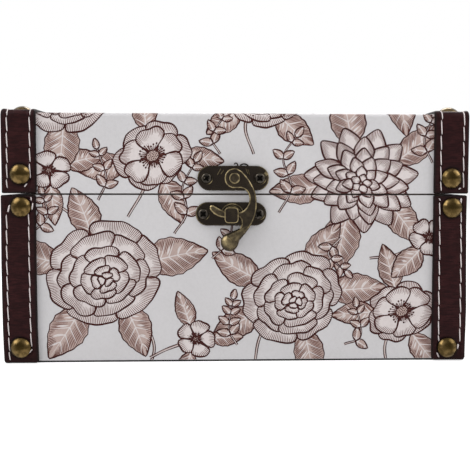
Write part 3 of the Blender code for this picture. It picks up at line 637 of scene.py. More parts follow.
def make_straps():
    """Straps up the front of the base and down its back, and up the front of the lid, over it and down."""
    level = -strap_high.y
    top_level = lid_top + (level - half_depth) - PRESSED
    foot = lid_strap_foot - LID_STRAP_DROP
    rise = (top_level - LID_FOLD - foot, 0)
    quarter = (LID_FOLD * pi / 2, -pi / 2)
    lid_legs = [rise, quarter, (2 * (level - LID_FOLD), 0), quarter, rise]
    for side, hand in ((-1, "left"), (1, "right")):
        height = strap_high.z - strap_low.z + BASE_STRAP_DROP[side]
        straps = (("lid_strap", (-level, foot), radians(90), lid_legs, (SHARP_CORNER, SHARP_CORNER)),
                  ("base_strap_front", (-level, strap_high.z - height), radians(90), [(height, 0)],
                   (WORN_CORNER, SHARP_CORNER)),
                  ("base_strap_back", (level, strap_high.z), radians(-90), [(height, 0)],
                   (SHARP_CORNER, WORN_CORNER)))
        for number, (kind, *line) in enumerate(straps):
            strap = Strap(kind, hand, side, 10 * number + 3 * side, *line)
            strap.make_leather()
            strap.make_stitches()


# Studs and screws

STUD_HEAD, STUD_ROLL, STUD_SINK = 0.0023, 0.0003, 0.0006
TOP_STUD_SUNK = {"left": 0.0008, "right": 0.0004}
LATCH_SCREW_HEAD, HINGE_SCREW_HEAD = 0.001, 0.0008
# A screw head's section, as shares of its radius and height
SCREW_SECTION = ((1, -0.4), (1, 0.2), (0.97, 0.45), (0.9, 0.7), (0.78, 0.9), (0.64, 1))
# How deep the cross recess is, how wide its floor, and its painted shade, which takes the brass to near black
RECESS_DEPTH, RECESS_FLOOR, RECESS_PAINTED_SHADE = 0.75, 0.6, -0.4


def outward(name):
    """The way a fastener's head faces, from its name."""
    if "_top_" in name:
        return Vector((0, 0, 1))
    if "back" in name or "hinge" in name:
        return Vector((0, 1, 0))
    return Vector((0, -1, 0))


def head_seat(name, head):
    """A head's radius, and a matrix with its origin under the middle of the head and +Z facing out."""
    low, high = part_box(name)
    out = outward(name)
    middle = (low + high) / 2
    tip = Vector([high[i] if out[i] > 0 else low[i] if out[i] < 0 else middle[i] for i in range(3)])
    radius = max(high[i] - low[i] for i in range(3) if out[i] == 0) / 2
    turn = Vector((0, 0, 1)).rotation_difference(out).to_matrix().to_4x4()
    return radius, Matrix.Translation(tip - out * head) @ turn


def mark_rubbed_and_painted_light(shape, share):
    """Gives each point its brightness attribute, for wear and for painted light: how bright the metal is
    there.
    """
    layer = shape.verts.layers.float.new("rubbed_and_painted_light")
    for vertex in shape.verts:
        vertex[layer] = share(vertex)
    return layer


def body_of_node(name):
    """The body that a fastener belongs to, from its name."""
    return "lid" if name.startswith(("lid", "hook_plate", "hook_rivet")) else "base"


def make_stud(name, number):
    """A domed nail head, a little hammered, with a thin rolled rim."""
    sunk = TOP_STUD_SUNK["left" if "left" in name else "right"] if "_top_" in name else 0.0
    radius, seat = head_seat(name, STUD_HEAD + sunk)
    ball = (radius ** 2 + STUD_HEAD ** 2) / (2 * STUD_HEAD)
    spans = [radius * sin(pi / 2 * i / 12) for i in range(12)]
    profile = [(span, math.sqrt(ball ** 2 - span ** 2) - ball + STUD_HEAD) for span in spans]
    profile += [(radius - STUD_ROLL + STUD_ROLL * cos(a), STUD_ROLL * sin(a))
                for a in (1.2, 0.6, 0, -0.6, -1.2)]
    profile += [(radius * share, -STUD_SINK) for share in (0.85, 0.3, 0)]
    shape = bmesh.new()
    turned(shape, profile, 44)
    for vertex in shape.verts:
        if vertex.co.z > STUD_ROLL:
            coarse = noise.noise(vertex.co * 320 + Vector((0, number, 0)))
            fine = noise.noise(vertex.co * 900 + Vector((number, 0, 0)))
            vertex.co.z += coarse * 0.00009 + fine * 0.00006
    way = -1 if outward(name).y > 0 else 1

    def wear_and_painted_light(vertex):
        """A steady brass tone with painted reflections: dark in a patch over the middle, in a band across it
        and a little towards one side, with two painted highlights as crescents on top.
        """
        u, v = vertex.co.x / radius, way * vertex.co.y / radius
        around = math.atan2(u, v)
        # Two painted highlights near the rim, at upper left and upper right
        painted_highlights = 0.3 * bump(around + 0.75, 0.5) + 0.24 * bump(around - 0.85, 0.4)
        return (0.31 - 0.3 * bump(u, 0.5) * bump(v - 0.3, 0.4) - 0.14 * bump(v - 0.12 * u, 0.16) - 0.08 * v
                + bump(math.hypot(u, v) - 0.76, 0.16) * painted_highlights)

    mark_rubbed_and_painted_light(shape, wear_and_painted_light)
    bmesh.ops.transform(shape, matrix=seat, verts=shape.verts)
    new_piece(name.replace("stud", "nail_head"), finished(shape, name, radians(50)), body_of_node(name),
              finishes["stud_brass"], "stud_brass", name)


def make_screw(name, number, head, finish, slot):
    """A round screw head with a cross recess."""
    radius, seat = head_seat(name, head)
    shape = bmesh.new()
    turned(shape, [(radius * share, head * rise) for share, rise in SCREW_SECTION], 28)
    layer = mark_rubbed_and_painted_light(shape, lambda vertex: 0.3 if vertex.co.xy.length > radius * 0.85 else 0.17)
    top = [edge for edge in shape.edges if edge.is_boundary and edge.verts[0].co.z > 0]
    arm, half = radius * 0.74, radius * 0.12
    turn = Matrix.Rotation(pi / 4 + 0.16 * (number % 3 - 1), 3, "Z")
    points = []
    for quarter in range(4):
        spin = turn @ Matrix.Rotation(quarter * pi / 2, 3, "Z")
        for x, y in ((arm, -half), (arm, half), (half * 1.2, half * 1.2)):
            points.append(shape.verts.new(spin @ Vector((x, y, head))))
    recess = [shape.edges.new(pair) for pair in zip(points, points[1:] + points[:1])]
    bmesh.ops.triangle_fill(shape, use_beauty=True, edges=top + recess, normal=(0, 0, 1))
    made = bmesh.ops.extrude_edge_only(shape, edges=recess)["geom"]
    sunk = [item for item in made if isinstance(item, bmesh.types.BMVert)]
    bmesh.ops.scale(shape, vec=(RECESS_FLOOR, RECESS_FLOOR, 1), verts=sunk)
    bmesh.ops.translate(shape, vec=(0, 0, -head * RECESS_DEPTH), verts=sunk)
    # The recess gets painted shade
    for point in points + sunk:
        point[layer] = RECESS_PAINTED_SHADE
    close_holes(shape)
    bmesh.ops.transform(shape, matrix=seat, verts=shape.verts)
    new_piece(name.replace("screw", "cross_screw"), finished(shape, name, radians(40), 1e-7),
              body_of_node(name), finishes[finish], slot, name)


def make_fasteners():
    """All studs and screws. Their numbers vary their dents and turns."""
    for number, name in enumerate(sorted(frame["nodes"])):
        if "_stud_" in name:
            make_stud(name, number)
        elif "_latch_screw_" in name:
            make_screw(name, number, LATCH_SCREW_HEAD, "latch_screws", "latch_bronze")
        elif "_hinge_screw_" in name:
            make_screw(name, number, HINGE_SCREW_HEAD, "hinge_brass", "hinge_brass")


# Latch

FRONT = Vector((0, -1, 0))
RIM = 0.0003
# The head of the catch lies in front of this. It sits a little left of and under its packed place.
CATCH_HEAD_BACK = -0.0651
CATCH_SHIFT = Vector((-0.0003, 0, -0.00045))
UPPER_SCREWS = ("lid_latch_screw_left", "lid_latch_screw_right")
LOWER_SCREWS = ("base_latch_screw_left", "base_latch_screw_right")
RING_RADIUS, RING_WIRE, RING_RISE = 0.0029, 0.00025, 0.0002
# How far from its middle the upper plate stays raised, and how far it then slopes down
RAISED, SLOPED = 0.0049, 0.0026
# The scored lines on it: where each starts, across and up, and how far it goes
SCORE_WIRE = 0.00024
SCORES = ((-0.0094, 0.0899, 0.0018, 0.0031), (-0.0077, 0.0903, 0.0015, 0.0021),
          (0.0041, 0.0931, 0.0012, -0.0028), (0.0052, 0.0926, 0.0008, -0.0024))
# The neck that runs from the flat of the hook into its knob: across, up and radius
NECK = ((0.0062, 0.067, 0.0005), (0.0052, 0.0658, 0.001), (0.004, 0.0646, 0.0014), (0.0026, 0.0634, 0.0018),
        (0.0012, 0.0623, 0.0022), (-0.0006, 0.061, 0.0028), (-0.0025, 0.0595, 0.0034))
# The ridge over the catch: its middle, and the reach and radius of its two wires
RIDGE_MIDDLE = (-0.00225, 0.07145)
RIDGE_WIRES = ((0.0052, 0.0003), (0.0041, 0.00022))
# The rivet's section, as shares of its radius and height: a raised ring round a sunk face
RIVET_HEAD = 0.0011
RIVET_SECTION = ((0, 0.75), (0.2, 0.76), (0.4, 0.72), (0.56, 0.66), (0.64, 0.6), (0.7, 0.72), (0.78, 0.9),
                 (0.86, 0.94), (0.94, 0.85), (0.99, 0.6), (1, 0.3), (1, -0.5), (0.5, -0.5), (0, -0.5))


def make_casting(name, node, body, wear_and_painted_light, add_details, bevel=0.0, steepest=0.998):
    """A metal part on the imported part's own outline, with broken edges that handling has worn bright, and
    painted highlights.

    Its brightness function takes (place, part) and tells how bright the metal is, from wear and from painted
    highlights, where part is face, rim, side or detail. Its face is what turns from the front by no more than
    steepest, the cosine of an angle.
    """
    shape = bmesh.new()
    shape.from_mesh(frame["nodes"][node].data)
    bmesh.ops.remove_doubles(shape, verts=shape.verts, dist=1e-6)
    bmesh.ops.dissolve_limit(shape, angle_limit=radians(2), verts=shape.verts, edges=shape.edges)

    def faces_in_front(left_out=()):
        return {face for face in shape.faces if face.normal.dot(FRONT) > steepest
                and face.calc_area() > 3e-6 and face not in left_out}

    layer = shape.verts.layers.float.new("rubbed_and_painted_light")
    shape.loops.layers.uv.verify()
    if node == "catch_plate":
        for vertex in shape.verts:
            if vertex.co.y < CATCH_HEAD_BACK:
                vertex.co += CATCH_SHIFT
    made = set()
    if bevel:
        front = faces_in_front()
        rims = [edge for edge in shape.edges if len(front & set(edge.link_faces)) == 1]
        made = set(bmesh.ops.bevel(shape, geom=rims, offset=bevel, affect="EDGES", segments=3, profile=0.5,
                                   material=-1, clamp_overlap=True)["faces"])
        shape.normal_update()
    front = faces_in_front(made)
    ring = set(bmesh.ops.inset_region(shape, faces=list(front), thickness=RIM, depth=0, use_boundary=True,
                                      use_even_offset=True)["faces"])
    inner = {vertex for face in front for vertex in face.verts
             if all(other in front or other in ring for other in vertex.link_faces)}
    rim = {vertex for face in ring for vertex in face.verts} - inner
    sides = set(shape.verts) - inner - rim
    add_details(shape)
    for vertex in shape.verts:
        part = ("face" if vertex in inner else "rim" if vertex in rim else
                "side" if vertex in sides else "detail")
        vertex[layer] = wear_and_painted_light(vertex.co, part)
    new_piece(name, finished(shape, name, radians(35), 1e-7), body, finishes["latch_bronze"], "latch_bronze",
              node)


def make_rivet():
    """The rivet that the hook turns on: a raised ring round a hammered face."""
    radius, seat = head_seat("hook_rivet", RIVET_HEAD)
    shape = bmesh.new()
    turned(shape, [(radius * across, RIVET_HEAD * rise) for across, rise in RIVET_SECTION], 36)
    for vertex in shape.verts:
        if 0 < vertex.co.z and vertex.co.xy.length / radius < 0.6:
            vertex.co.z += noise.noise(vertex.co * 1500) * 0.00025
    mark_rubbed_and_painted_light(shape, lambda vertex: 0.12 + 0.5 * bump(vertex.co.xy.length / radius - 0.86, 0.08))
    bmesh.ops.transform(shape, matrix=seat, verts=shape.verts)
    new_piece("latch_rivet", finished(shape, "latch_rivet", radians(50)), "lid", finishes["latch_bronze"],
              "latch_bronze", "hook_rivet")


def add_neck(shape):
    """The neck of the hook's knob."""
    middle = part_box("latch_hook")[0].y + 0.0026
    add_wire(shape, [(x, middle, z) for x, z, radius in NECK], [radius for x, z, radius in NECK], 0.8, 14)


def add_screw_rings(shape, screws, face):
    """The pressed rings that the screws sit in."""
    for screw in screws:
        middle = middle_of(screw)
        seat = Matrix.Translation((middle.x, face, middle.z)) @ Matrix.Rotation(pi / 2, 4, "X")
        around = [a * pi / 4 for a in range(9)]
        turned(shape, [(RING_RADIUS + RING_WIRE * cos(a), RING_RISE * sin(a)) for a in around], 32, seat)


def add_upper_details(shape):
    """The rings and the scored lines on the plate, and the curl and the arch of wire on its top edge."""
    low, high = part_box("hook_plate")
    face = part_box(UPPER_SCREWS[0])[0].y + LATCH_SCREW_HEAD
    middle = (low.x + high.x) / 2
    add_screw_rings(shape, UPPER_SCREWS, face)
    for x, z, ahead, up in SCORES:
        spots = [(x + ahead * share, z + up * share) for share in (0, 0.33, 0.67, 1)]
        line = [(x, face + (low.y - face) * (1 - step_between(abs(x - middle), RAISED, RAISED + SLOPED)), z)
                for x, z in spots]
        add_wire(shape, line, SCORE_WIRE, 1, 6)
    curl = [(-0.0005 + 0.0008 * cos(a), 0.0005 + 0.0008 * sin(a)) for a in np.linspace(-2.2, 3.0, 9)]
    arch = [(0.0013 + 0.0042 * share, 0.0011 * sin(pi * share) ** 0.7 - 0.0002)
            for share in np.linspace(0.02, 0.98, 9)]
    for line, radius in ((curl, 0.0003), (arch, 0.00034)):
        add_wire(shape, [(x, face + 0.0003, high.z + z) for x, z in line], radius, 1, 6)


def add_lower_details(shape):
    """The rings on the plate, and the ridge that the press raised over the catch."""
    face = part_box(LOWER_SCREWS[0])[0].y + LATCH_SCREW_HEAD
    add_screw_rings(shape, LOWER_SCREWS, face)
    for reach, radius in RIDGE_WIRES:
        arc = [(RIDGE_MIDDLE[0] + reach * cos(a), RIDGE_MIDDLE[1] + reach * 0.92 * sin(a))
               for a in np.linspace(0.25, 2.9, 14)]
        add_wire(shape, [(x, face, z) for x, z in arc], radius, 1, 6)


def hook_wear_and_highlight(place, part):
    """Rubbed edges, a bright finger tip, more and more brass towards the knob, and a painted highlight on the
    knob's upper left.
    """
    low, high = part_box("latch_hook")
    sunk = (high.z - place.z) / (high.z - low.z)
    upper = step_between(place.z, 0.066, 0.068)
    tip = step_between(-place.x, 0.0085, 0.0125) * upper
    finger = step_between(-place.x, 0.003, 0.006) * upper
    # A painted highlight on the upper left of the knob
    knob = bump(math.hypot(place.x + 0.005, place.z - 0.0592), 0.0017)
    if part == "face":
        return 0.05 + 0.1 * sunk ** 2 + 0.06 * finger + 0.2 * tip + 0.3 * knob
    if part == "rim":
        return 0.66 - 0.2 * sunk + 0.3 * tip + 0.3 * knob
    return 0.16 + 0.12 * sunk + 0.25 * tip + 0.45 * knob


def ring_glint(place, screws):
    """How bright a ring round a screw is: dull, with a painted glint at its lower right. It is 0 away from
    the rings.
    """
    for screw in screws:
        away = place - middle_of(screw)
        if math.hypot(away.x, away.z) < 0.0036:
            return 0.06 + 0.5 * bump(math.atan2(away.z, away.x) + 0.75, 0.45)
    return 0.0


def upper_wear_and_highlights(place, part):
    """Only the ends of the rim, the rings and the scored lines are bright: painted highlights at the plate's
    right end and on the rim's upper left, and a painted glint on each ring.
    """
    low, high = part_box("hook_plate")
    if part == "detail":
        return 0.04 if place.z > high.z - 0.0004 else ring_glint(place, UPPER_SCREWS) or 0.26
    # Painted highlights: along the plate's right end, and on the rim at its upper left
    right = step_between(place.x, high.x - 0.006, high.x - 0.001)
    left = step_between(low.x - place.x, -0.006, -0.003) * step_between(place.z, 0.0885, 0.0905)
    return {"face": 0.05 * right - 0.03, "rim": 0.12 + 0.55 * right + 0.5 * left,
            "side": 0.08 + 0.35 * right}[part]


def lower_wear_and_highlights(place, part):
    """A rubbed rim round the head of the catch, and a fainter one round the plate with a painted highlight
    along its left end, and a painted glint on each ring.
    """
    if place.y < CATCH_HEAD_BACK:
        return {"face": 0.02, "rim": 0.75, "side": 0.55, "detail": 0.3}[part]
    if part == "detail":
        return ring_glint(place, LOWER_SCREWS) or 0.45
    # A painted highlight along the rim at the plate's left end
    left = step_between(-place.x, 0.0135, 0.0185)
    return {"face": -0.08, "rim": 0.2 + 0.45 * left, "side": 0.1}[part]


def make_latch():
    """The hook, the two plates and the rivet."""
    make_casting("latch_swing_hook", "latch_hook", "hook", hook_wear_and_highlight, add_neck)
    make_casting("latch_upper_plate", "hook_plate", "lid", upper_wear_and_highlights, add_upper_details, 0.0002, 0.8)
    make_casting("latch_lower_plate", "catch_plate", "base", lower_wear_and_highlights, add_lower_details, 0.00025)
    make_rivet()


# The print: plants drawn by pen on a flat sheet, in millimetres, and then laid over the leather

OUTLINE, HATCH, PETAL, LEAF, VEIN = range(5)
PAINTS = ("outline_ink", "hatch_ink", "petal_tint", "leaf_tint", "vein_tint")
# Shapes and lines lie on levels, so that what is drawn later covers what is under it
FIRST_LEVEL, LEVEL = 0.02, 0.008
HATCH_OVER, VEIN_OVER, OUTLINE_OVER = 0.3, 0.4, 0.7
SLOT_LENGTH, SLOT_WIDTH = 120.4, 30.4
PETAL_HATCH, LEAF_HATCH = 1.0, 0.85
OUTLINE_STEP = 1.25
# How long the pen strokes on a petal are, as a share of it
FRINGE = 0.34
# How a leaf's side veins lean towards its tip
SWEEP = 0.2


def held_by(outline, points):
    """Which of the points lie inside an outline."""
    x, y = points[..., 0], points[..., 1]
    held = np.zeros(x.shape, bool)
    for (ax, ay), (bx, by) in zip(outline, np.roll(outline, -1, 0)):
        if ay != by:
            held ^= ((ay > y) != (by > y)) & (x < (bx - ax) * (y - ay) / (by - ay) + ax)
    return held


def spaced(path, gap):
    """The same path with points at an even gap."""
    reach = np.concatenate(([0], np.cumsum(np.linalg.norm(np.diff(path, axis=0), axis=1))))
    marks = np.linspace(0, reach[-1], max(3, round(reach[-1] / gap)) + 1)
    return np.stack([np.interp(marks, reach, path[:, i]) for i in range(2)], 1)


def flowing(points, steps=8):
    """A smooth path through a few points."""
    points = np.array(points, float)
    ends = np.vstack((2 * points[0] - points[1], points, 2 * points[-1] - points[-2]))
    share = np.linspace(0, 1, steps, endpoint=False)[:, None]
    runs = []
    for a, b, c, d in zip(ends, ends[1:], ends[2:], ends[3:]):
        runs.append(0.5 * (2 * b + (c - a) * share + (2 * a - 5 * b + 4 * c - d) * share ** 2
                           + (3 * b - a - 3 * c + d) * share ** 3))
    return np.vstack(runs + [points[-1:]])


def turned_by(angle):
    """Turns flat points, so that what points along +Y points along the angle."""
    c, s = cos(angle - pi / 2), sin(angle - pi / 2)
    return np.array(((c, s), (-s, c)))


class Sheet:
    """A flat sheet to draw on. A shape lies just above all that it covers."""

    def __init__(self, low, high, seed):
        self.low = np.array(low, float)
        self.levels = np.zeros([math.ceil(b - a) for a, b in zip(low, high)])
        self.shapes, self.lines = [], []
        self.chance = random.Random(seed)

    def between(self, low, high):
        return self.chance.uniform(low, high)

    def lay(self, outline, tint):
        """Adds a tinted shape, and returns the level that it lies on."""
        size = self.levels.shape
        first = np.floor(outline.min(0) - self.low).astype(int).clip(0)
        last = np.minimum(np.ceil(outline.max(0) - self.low).astype(int) + 1, size)
        if (first >= last).any():
            return None
        cells = np.stack(np.meshgrid(*(np.arange(a, b) for a, b in zip(first, last)), indexing="ij"), -1)
        held = held_by(outline, cells + 0.5 + self.low)
        near = np.floor(spaced(np.vstack((outline, outline[:1])), 0.7) - self.low).astype(int) - first
        near = near[((near >= 0) & (near < last - first)).all(1)]
        held[near[:, 0], near[:, 1]] = True
        part = self.levels[first[0]:last[0], first[1]:last[1]]
        if not held.any():
            return None
        level = part[held].max() + 1
        part[held] = level
        self.shapes.append((outline, level, tint))
        return level

    def draw(self, path, width, ink, level):
        """A pen line. Its width is a number, or one for each point."""
        ahead = np.gradient(path, axis=0)
        across = np.stack((-ahead[:, 1], ahead[:, 0]), 1)
        across /= np.linalg.norm(across, axis=1, keepdims=True) + 1e-9
        half = across * (np.broadcast_to(width, len(path)) / 2)[:, None]
        self.lines.append((path + half, path - half, level, ink))

    def edge(self, outline, level, width=0.74, closed=True):
        """An outline whose line swells and thins."""
        path = spaced(np.vstack((outline, outline[:1])) if closed else outline, OUTLINE_STEP)
        swell = np.sin(np.linspace(0, 4 * pi, len(path)) + self.between(0, 6))
        self.draw(path, width * (1 + 0.24 * swell), OUTLINE, level + OUTLINE_OVER)


def hatch_petal(sheet, laid, outline, length, level):
    """Pen strokes inwards from a petal's rim, and half as many outwards from its base."""
    rim = spaced(np.vstack((outline, outline[:1])), PETAL_HATCH)
    ahead = np.gradient(rim, axis=0)
    focus = np.array((0, -0.12 * length))
    sway = sheet.between(0, 6)
    for number, (spot, course) in enumerate(zip(rim, ahead)):
        inward = focus - spot
        span = np.linalg.norm(inward)
        turn = abs(course[0] * inward[1] - course[1] * inward[0]) / (np.linalg.norm(course) * span + 1e-9)
        if turn < 0.3 or span < 0.2 * length:
            continue
        wave = 0.5 + 0.5 * sin(number * 0.31 + sway) * sin(number * 0.117 + 2 * sway)
        reach = FRINGE * (0.45 + 0.7 * wave) * sheet.between(0.8, 1.15)
        bow = np.array((-inward[1], inward[0])) * 0.02
        strokes = [(0.0, reach, (0.36, 0.3, 0.1)), (0.86, 0.86 - reach * 0.9, (0.3, 0.28, 0.1))]
        for start, end, widths in strokes[:2 - number % 2]:
            share = np.linspace(start, end, 3)[:, None]
            sheet.draw(laid(spot + inward * share + bow * np.sin(share * pi)), widths, HATCH,
                       level + HATCH_OVER)


def draw_petal(sheet, place, length, half, full, notch, ripple, lean):
    """A petal from its base at the origin towards +Y. full is how far out it is widest."""
    along = (1 - np.cos(np.linspace(0, pi, 15))) / 2
    side = np.stack((half * np.sin(pi * along ** full) ** 0.6, along * length), 1)
    outline = np.vstack((side[:-1] * (-1, 1), side[::-1][:-1]))
    angle = np.arctan2(outline[:, 0], outline[:, 1] + 1e-9)
    waves = np.sin(angle * sheet.between(6, 10) + sheet.between(0, 6)) * (outline[:, 1] / length)
    outline *= (1 + ripple * waves - notch * np.exp(-(angle / 0.16) ** 2))[:, None]

    def laid(points):
        return place(points + np.stack((lean * points[:, 1] ** 2 / length, 0 * points[:, 1]), 1))

    level = sheet.lay(laid(outline), PETAL)
    if level is not None:
        sheet.edge(laid(outline), level)
        hatch_petal(sheet, laid, outline, length, level)


def draw_leaf(sheet, place, length, half, bend, teeth, light=1):
    """A leaf from its base at the origin towards +Y, shaded between pale veins. light is its paler side."""
    along = (1 - np.cos(np.linspace(0, pi, 19))) / 2

    def spot(share, across):
        share = np.asarray(share, float)
        width = half * np.sin(pi * np.clip(share, 0, 1) ** 0.78) ** 0.9
        return np.stack((bend * length * share ** 2 + across * width, share * length), -1)

    def draw_across(start, across, way, widths, ink, over):
        """A line from the leaf's middle to one side, leaning towards its tip."""
        sheet.draw(place(spot(start + SWEEP * across ** 0.9, way * across)), widths, ink, level + over)

    jag = 1 + teeth * np.where(np.arange(len(along)) % 2, 1, -1)
    outline = np.vstack((spot(along, -jag)[:-1], spot(along, jag)[::-1][:-1]))
    level = sheet.lay(place(outline), LEAF)
    if level is None:
        return
    sheet.edge(place(outline), level, 0.62)
    for side in (-1, 1):
        step = LEAF_HATCH / length
        for number in range(int((1 - SWEEP * 0.5) / step)):
            start = 0.02 + number * step
            near = 0.12 if side != light else 0.42 + 0.25 * sin(number * 0.5)
            across = np.linspace(near + sheet.between(0, 0.12), 0.93, 4)
            if start + SWEEP * across[-1] ** 0.9 < 1:
                draw_across(start, across, side, (0.18, 0.36, 0.42, 0.24), HATCH, HATCH_OVER)
        for start in np.arange(0.1, 0.8, max(0.11, 4.2 / length)):
            across = np.linspace(0, 0.82, 4)
            draw_across(start, across, side, (0.55, 0.45, 0.34, 0.15), VEIN, VEIN_OVER + 0.05)
    if half > 2.5:
        for start in np.arange(0.12, 0.66, 5.0 / length):
            across = np.linspace(0.12, 0.6 + sheet.between(-0.1, 0.1), 5)
            draw_across(start + 0.05, across, light, (0.15, 0.7, 0.95, 0.6, 0.1), VEIN, VEIN_OVER)
    share = np.linspace(0, 0.93, 8)
    sheet.draw(place(spot(share, 0 * share)), 0.8 * (1.05 - share), VEIN, level + VEIN_OVER + 0.1)


def draw_stem(sheet, points, width=1.3):
    """A stem with a pale side and a shaded side."""
    path = flowing(points)
    ahead = np.gradient(path, axis=0)
    across = np.stack((-ahead[:, 1], ahead[:, 0]), 1) / np.linalg.norm(ahead, axis=1, keepdims=True)
    half = np.linspace(1, 0.7, len(path))[:, None] * width / 2
    left, right = path + across * half, path - across * half
    level = sheet.lay(np.vstack((left, right[::-1])), LEAF)
    if level is None:
        return
    sheet.edge(left, level, 0.42, closed=False)
    sheet.edge(right, level, 0.42, closed=False)
    sheet.draw(path + across * half * 0.3, 0.3, VEIN, level + VEIN_OVER)


def put(centre, angle, start=0.0, squash=1.0, squash_angle=0.0):
    """Where a flower's parts go: turned to an angle, moved out from its middle, and seen from one side."""
    turn, lay = turned_by(angle), turned_by(squash_angle)
    flat = lay.T @ np.diag((1, squash)) @ lay

    def place(points):
        return centre + (points + (0, start)) @ turn @ flat

    return place


# Rings of petals from the outside inwards: how many, how far out they reach, their length and half width
FLOWERS = {
    "camellia": ((6, 1.0, 0.66, 0.45), (6, 0.8, 0.56, 0.38), (5, 0.6, 0.45, 0.32), (5, 0.42, 0.34, 0.22),
                 (4, 0.26, 0.22, 0.15), (3, 0.14, 0.14, 0.1)),
    "dahlia": ((11, 1.0, 0.62, 0.215), (11, 0.84, 0.56, 0.19), (9, 0.66, 0.46, 0.17), (8, 0.49, 0.37, 0.14),
               (7, 0.33, 0.27, 0.11), (5, 0.19, 0.17, 0.08)),
    "anemone": ((6, 1.0, 0.88, 0.42), (6, 0.84, 0.72, 0.36)),
    "primrose": ((5, 1.0, 0.88, 0.45),),
}
# How full a petal is, its notch and its ripple, and how far it may lean
ROUND_PETAL, POINTED_PETAL = (1.6, 0.06, 0.03, 0.15), (1.15, -0.1, 0.01, 0.08)
# How large the open flowers' hearts are
HEARTS = {"anemone": 0.36, "primrose": 0.3}


def draw_heart(sheet, centre, radius, squash, squash_angle):
    """The middle of an open flower: a dotted cushion with a ring of stamens."""
    place = put(centre, 0, 0, squash, squash_angle)
    around = np.linspace(0, 2 * pi, 24, endpoint=False)
    ring = np.stack((np.cos(around), np.sin(around)), 1)
    level = sheet.lay(place(ring * radius * 0.45), LEAF)
    if level is None:
        return
    count = max(9, int(radius * 4.2))
    for number in range(count):
        angle = number * 2 * pi / count
        ray = np.array((cos(angle), sin(angle)))
        tip = radius * sheet.between(0.72, 1.0)
        sheet.draw(place(np.array((ray * radius * 0.45, ray * tip))), (0.34, 0.22), OUTLINE, level + 0.6)
        sheet.draw(place(np.array((ray * (tip - 0.3), ray * (tip + 0.6)))), (0.9, 0.7), OUTLINE, level + 0.8)
    sheet.edge(place(ring * radius * 0.45), level, 0.45)
    count = max(5, int(radius * 3.4))
    for number in range(count):
        angle, reach = number * 2.4, radius * 0.38 * math.sqrt((number + 0.5) / count)
        spot = reach * np.array((cos(angle), sin(angle)))
        sheet.draw(place(np.array((spot - (0.3, 0), spot + (0.3, 0)))), 0.5, OUTLINE, level + 0.6)


def draw_flower(sheet, kind, centre, radius, turn, squash, squash_angle):
    """A flower from the outer petals inwards. Its middle leans towards the side it is seen from."""
    toward = np.array((cos(squash_angle), sin(squash_angle)))
    *look, lean = POINTED_PETAL if kind == "dahlia" else ROUND_PETAL
    for ring, (count, reach, length, half) in enumerate(FLOWERS[kind]):
        middle = centre - toward * (1 - reach) * (1 - squash) * radius * 0.9
        for number in [*range(0, count, 2), *range(1, count, 2)]:
            angle = turn + (number + 0.5 * (ring % 2)) * 2 * pi / count + sheet.between(-0.08, 0.08)
            size = radius * sheet.between(0.93, 1.05)
            place = put(middle, angle, (reach - length) * radius, squash, squash_angle)
            draw_petal(sheet, place, length * size, half * size, *look, sheet.between(-lean, lean))
    if kind in HEARTS:
        draw_heart(sheet, centre, radius * HEARTS[kind], squash, squash_angle)


def draw_sprig(sheet, points, leaf, pairs):
    """A thin shoot with small leaves in pairs and one at its tip."""
    reach = spaced(flowing(points), 1.0)
    draw_stem(sheet, points, 0.8)
    for number in range(pairs):
        mark = int((0.3 + 0.65 * number / max(1, pairs - 1)) * (len(reach) - 2))
        ahead = reach[mark + 1] - reach[mark]
        angle = math.atan2(ahead[1], ahead[0])
        size = leaf * (1 - 0.35 * number / pairs)
        for side in (-1, 1):
            draw_leaf(sheet, put(reach[mark], angle + side * sheet.between(0.7, 1.0)), size, size * 0.3,
                      -0.12 * side, 0, side)
    ahead = reach[-1] - reach[-3]
    draw_leaf(sheet, put(reach[-1], math.atan2(ahead[1], ahead[0])), leaf * 0.8, leaf * 0.24, 0.05, 0)


def draw_leaves(sheet, centre, radius, angles, length):
    """Leaves that show from under a flower. angles are in degrees."""
    for number, angle in enumerate(angles):
        angle = radians(angle)
        base = centre + np.array((cos(angle), sin(angle) * 0.9)) * radius * 0.72
        size = length * sheet.between(0.88, 1.12)
        draw_leaf(sheet, put(base, angle + sheet.between(-0.2, 0.2)), size, size * sheet.between(0.25, 0.31),
                  sheet.between(-0.15, 0.15), 0.04, 1 if number % 2 else -1)


def draw_garden(sheet, plants, sprigs, stems):
    """Stems, then leaves and sprigs, and the flowers over them, the small ones last."""
    for points in stems:
        draw_stem(sheet, points)
    for kind, x, y, radius, turn, leaves in plants:
        centre = np.array((x, y), float)
        angles = [turn + number * 360 / leaves + sheet.between(-14, 14) for number in range(leaves)]
        draw_leaves(sheet, centre, radius, angles, 13 + 0.5 * radius)
    for points, leaf, pairs in sprigs:
        draw_sprig(sheet, points, leaf, pairs)
    for kind, x, y, radius, turn, leaves in sorted(plants, key=lambda plant: -plant[3]):
        squash = sheet.between(0.82, 0.95)
        seen_from = radians(sheet.between(60, 120))
        draw_flower(sheet, kind, np.array((x, y), float), radius, radians(turn), squash, seen_from)


def near_edge(face, a, b):
    """Whether a face reaches the box round an edge."""
    for axis in (0, 1):
        spots = [vertex.co[axis] for vertex in face.verts]
        if min(spots) > max(a[axis], b[axis]) + 0.5 or max(spots) < min(a[axis], b[axis]) - 0.5:
            return False
    return True


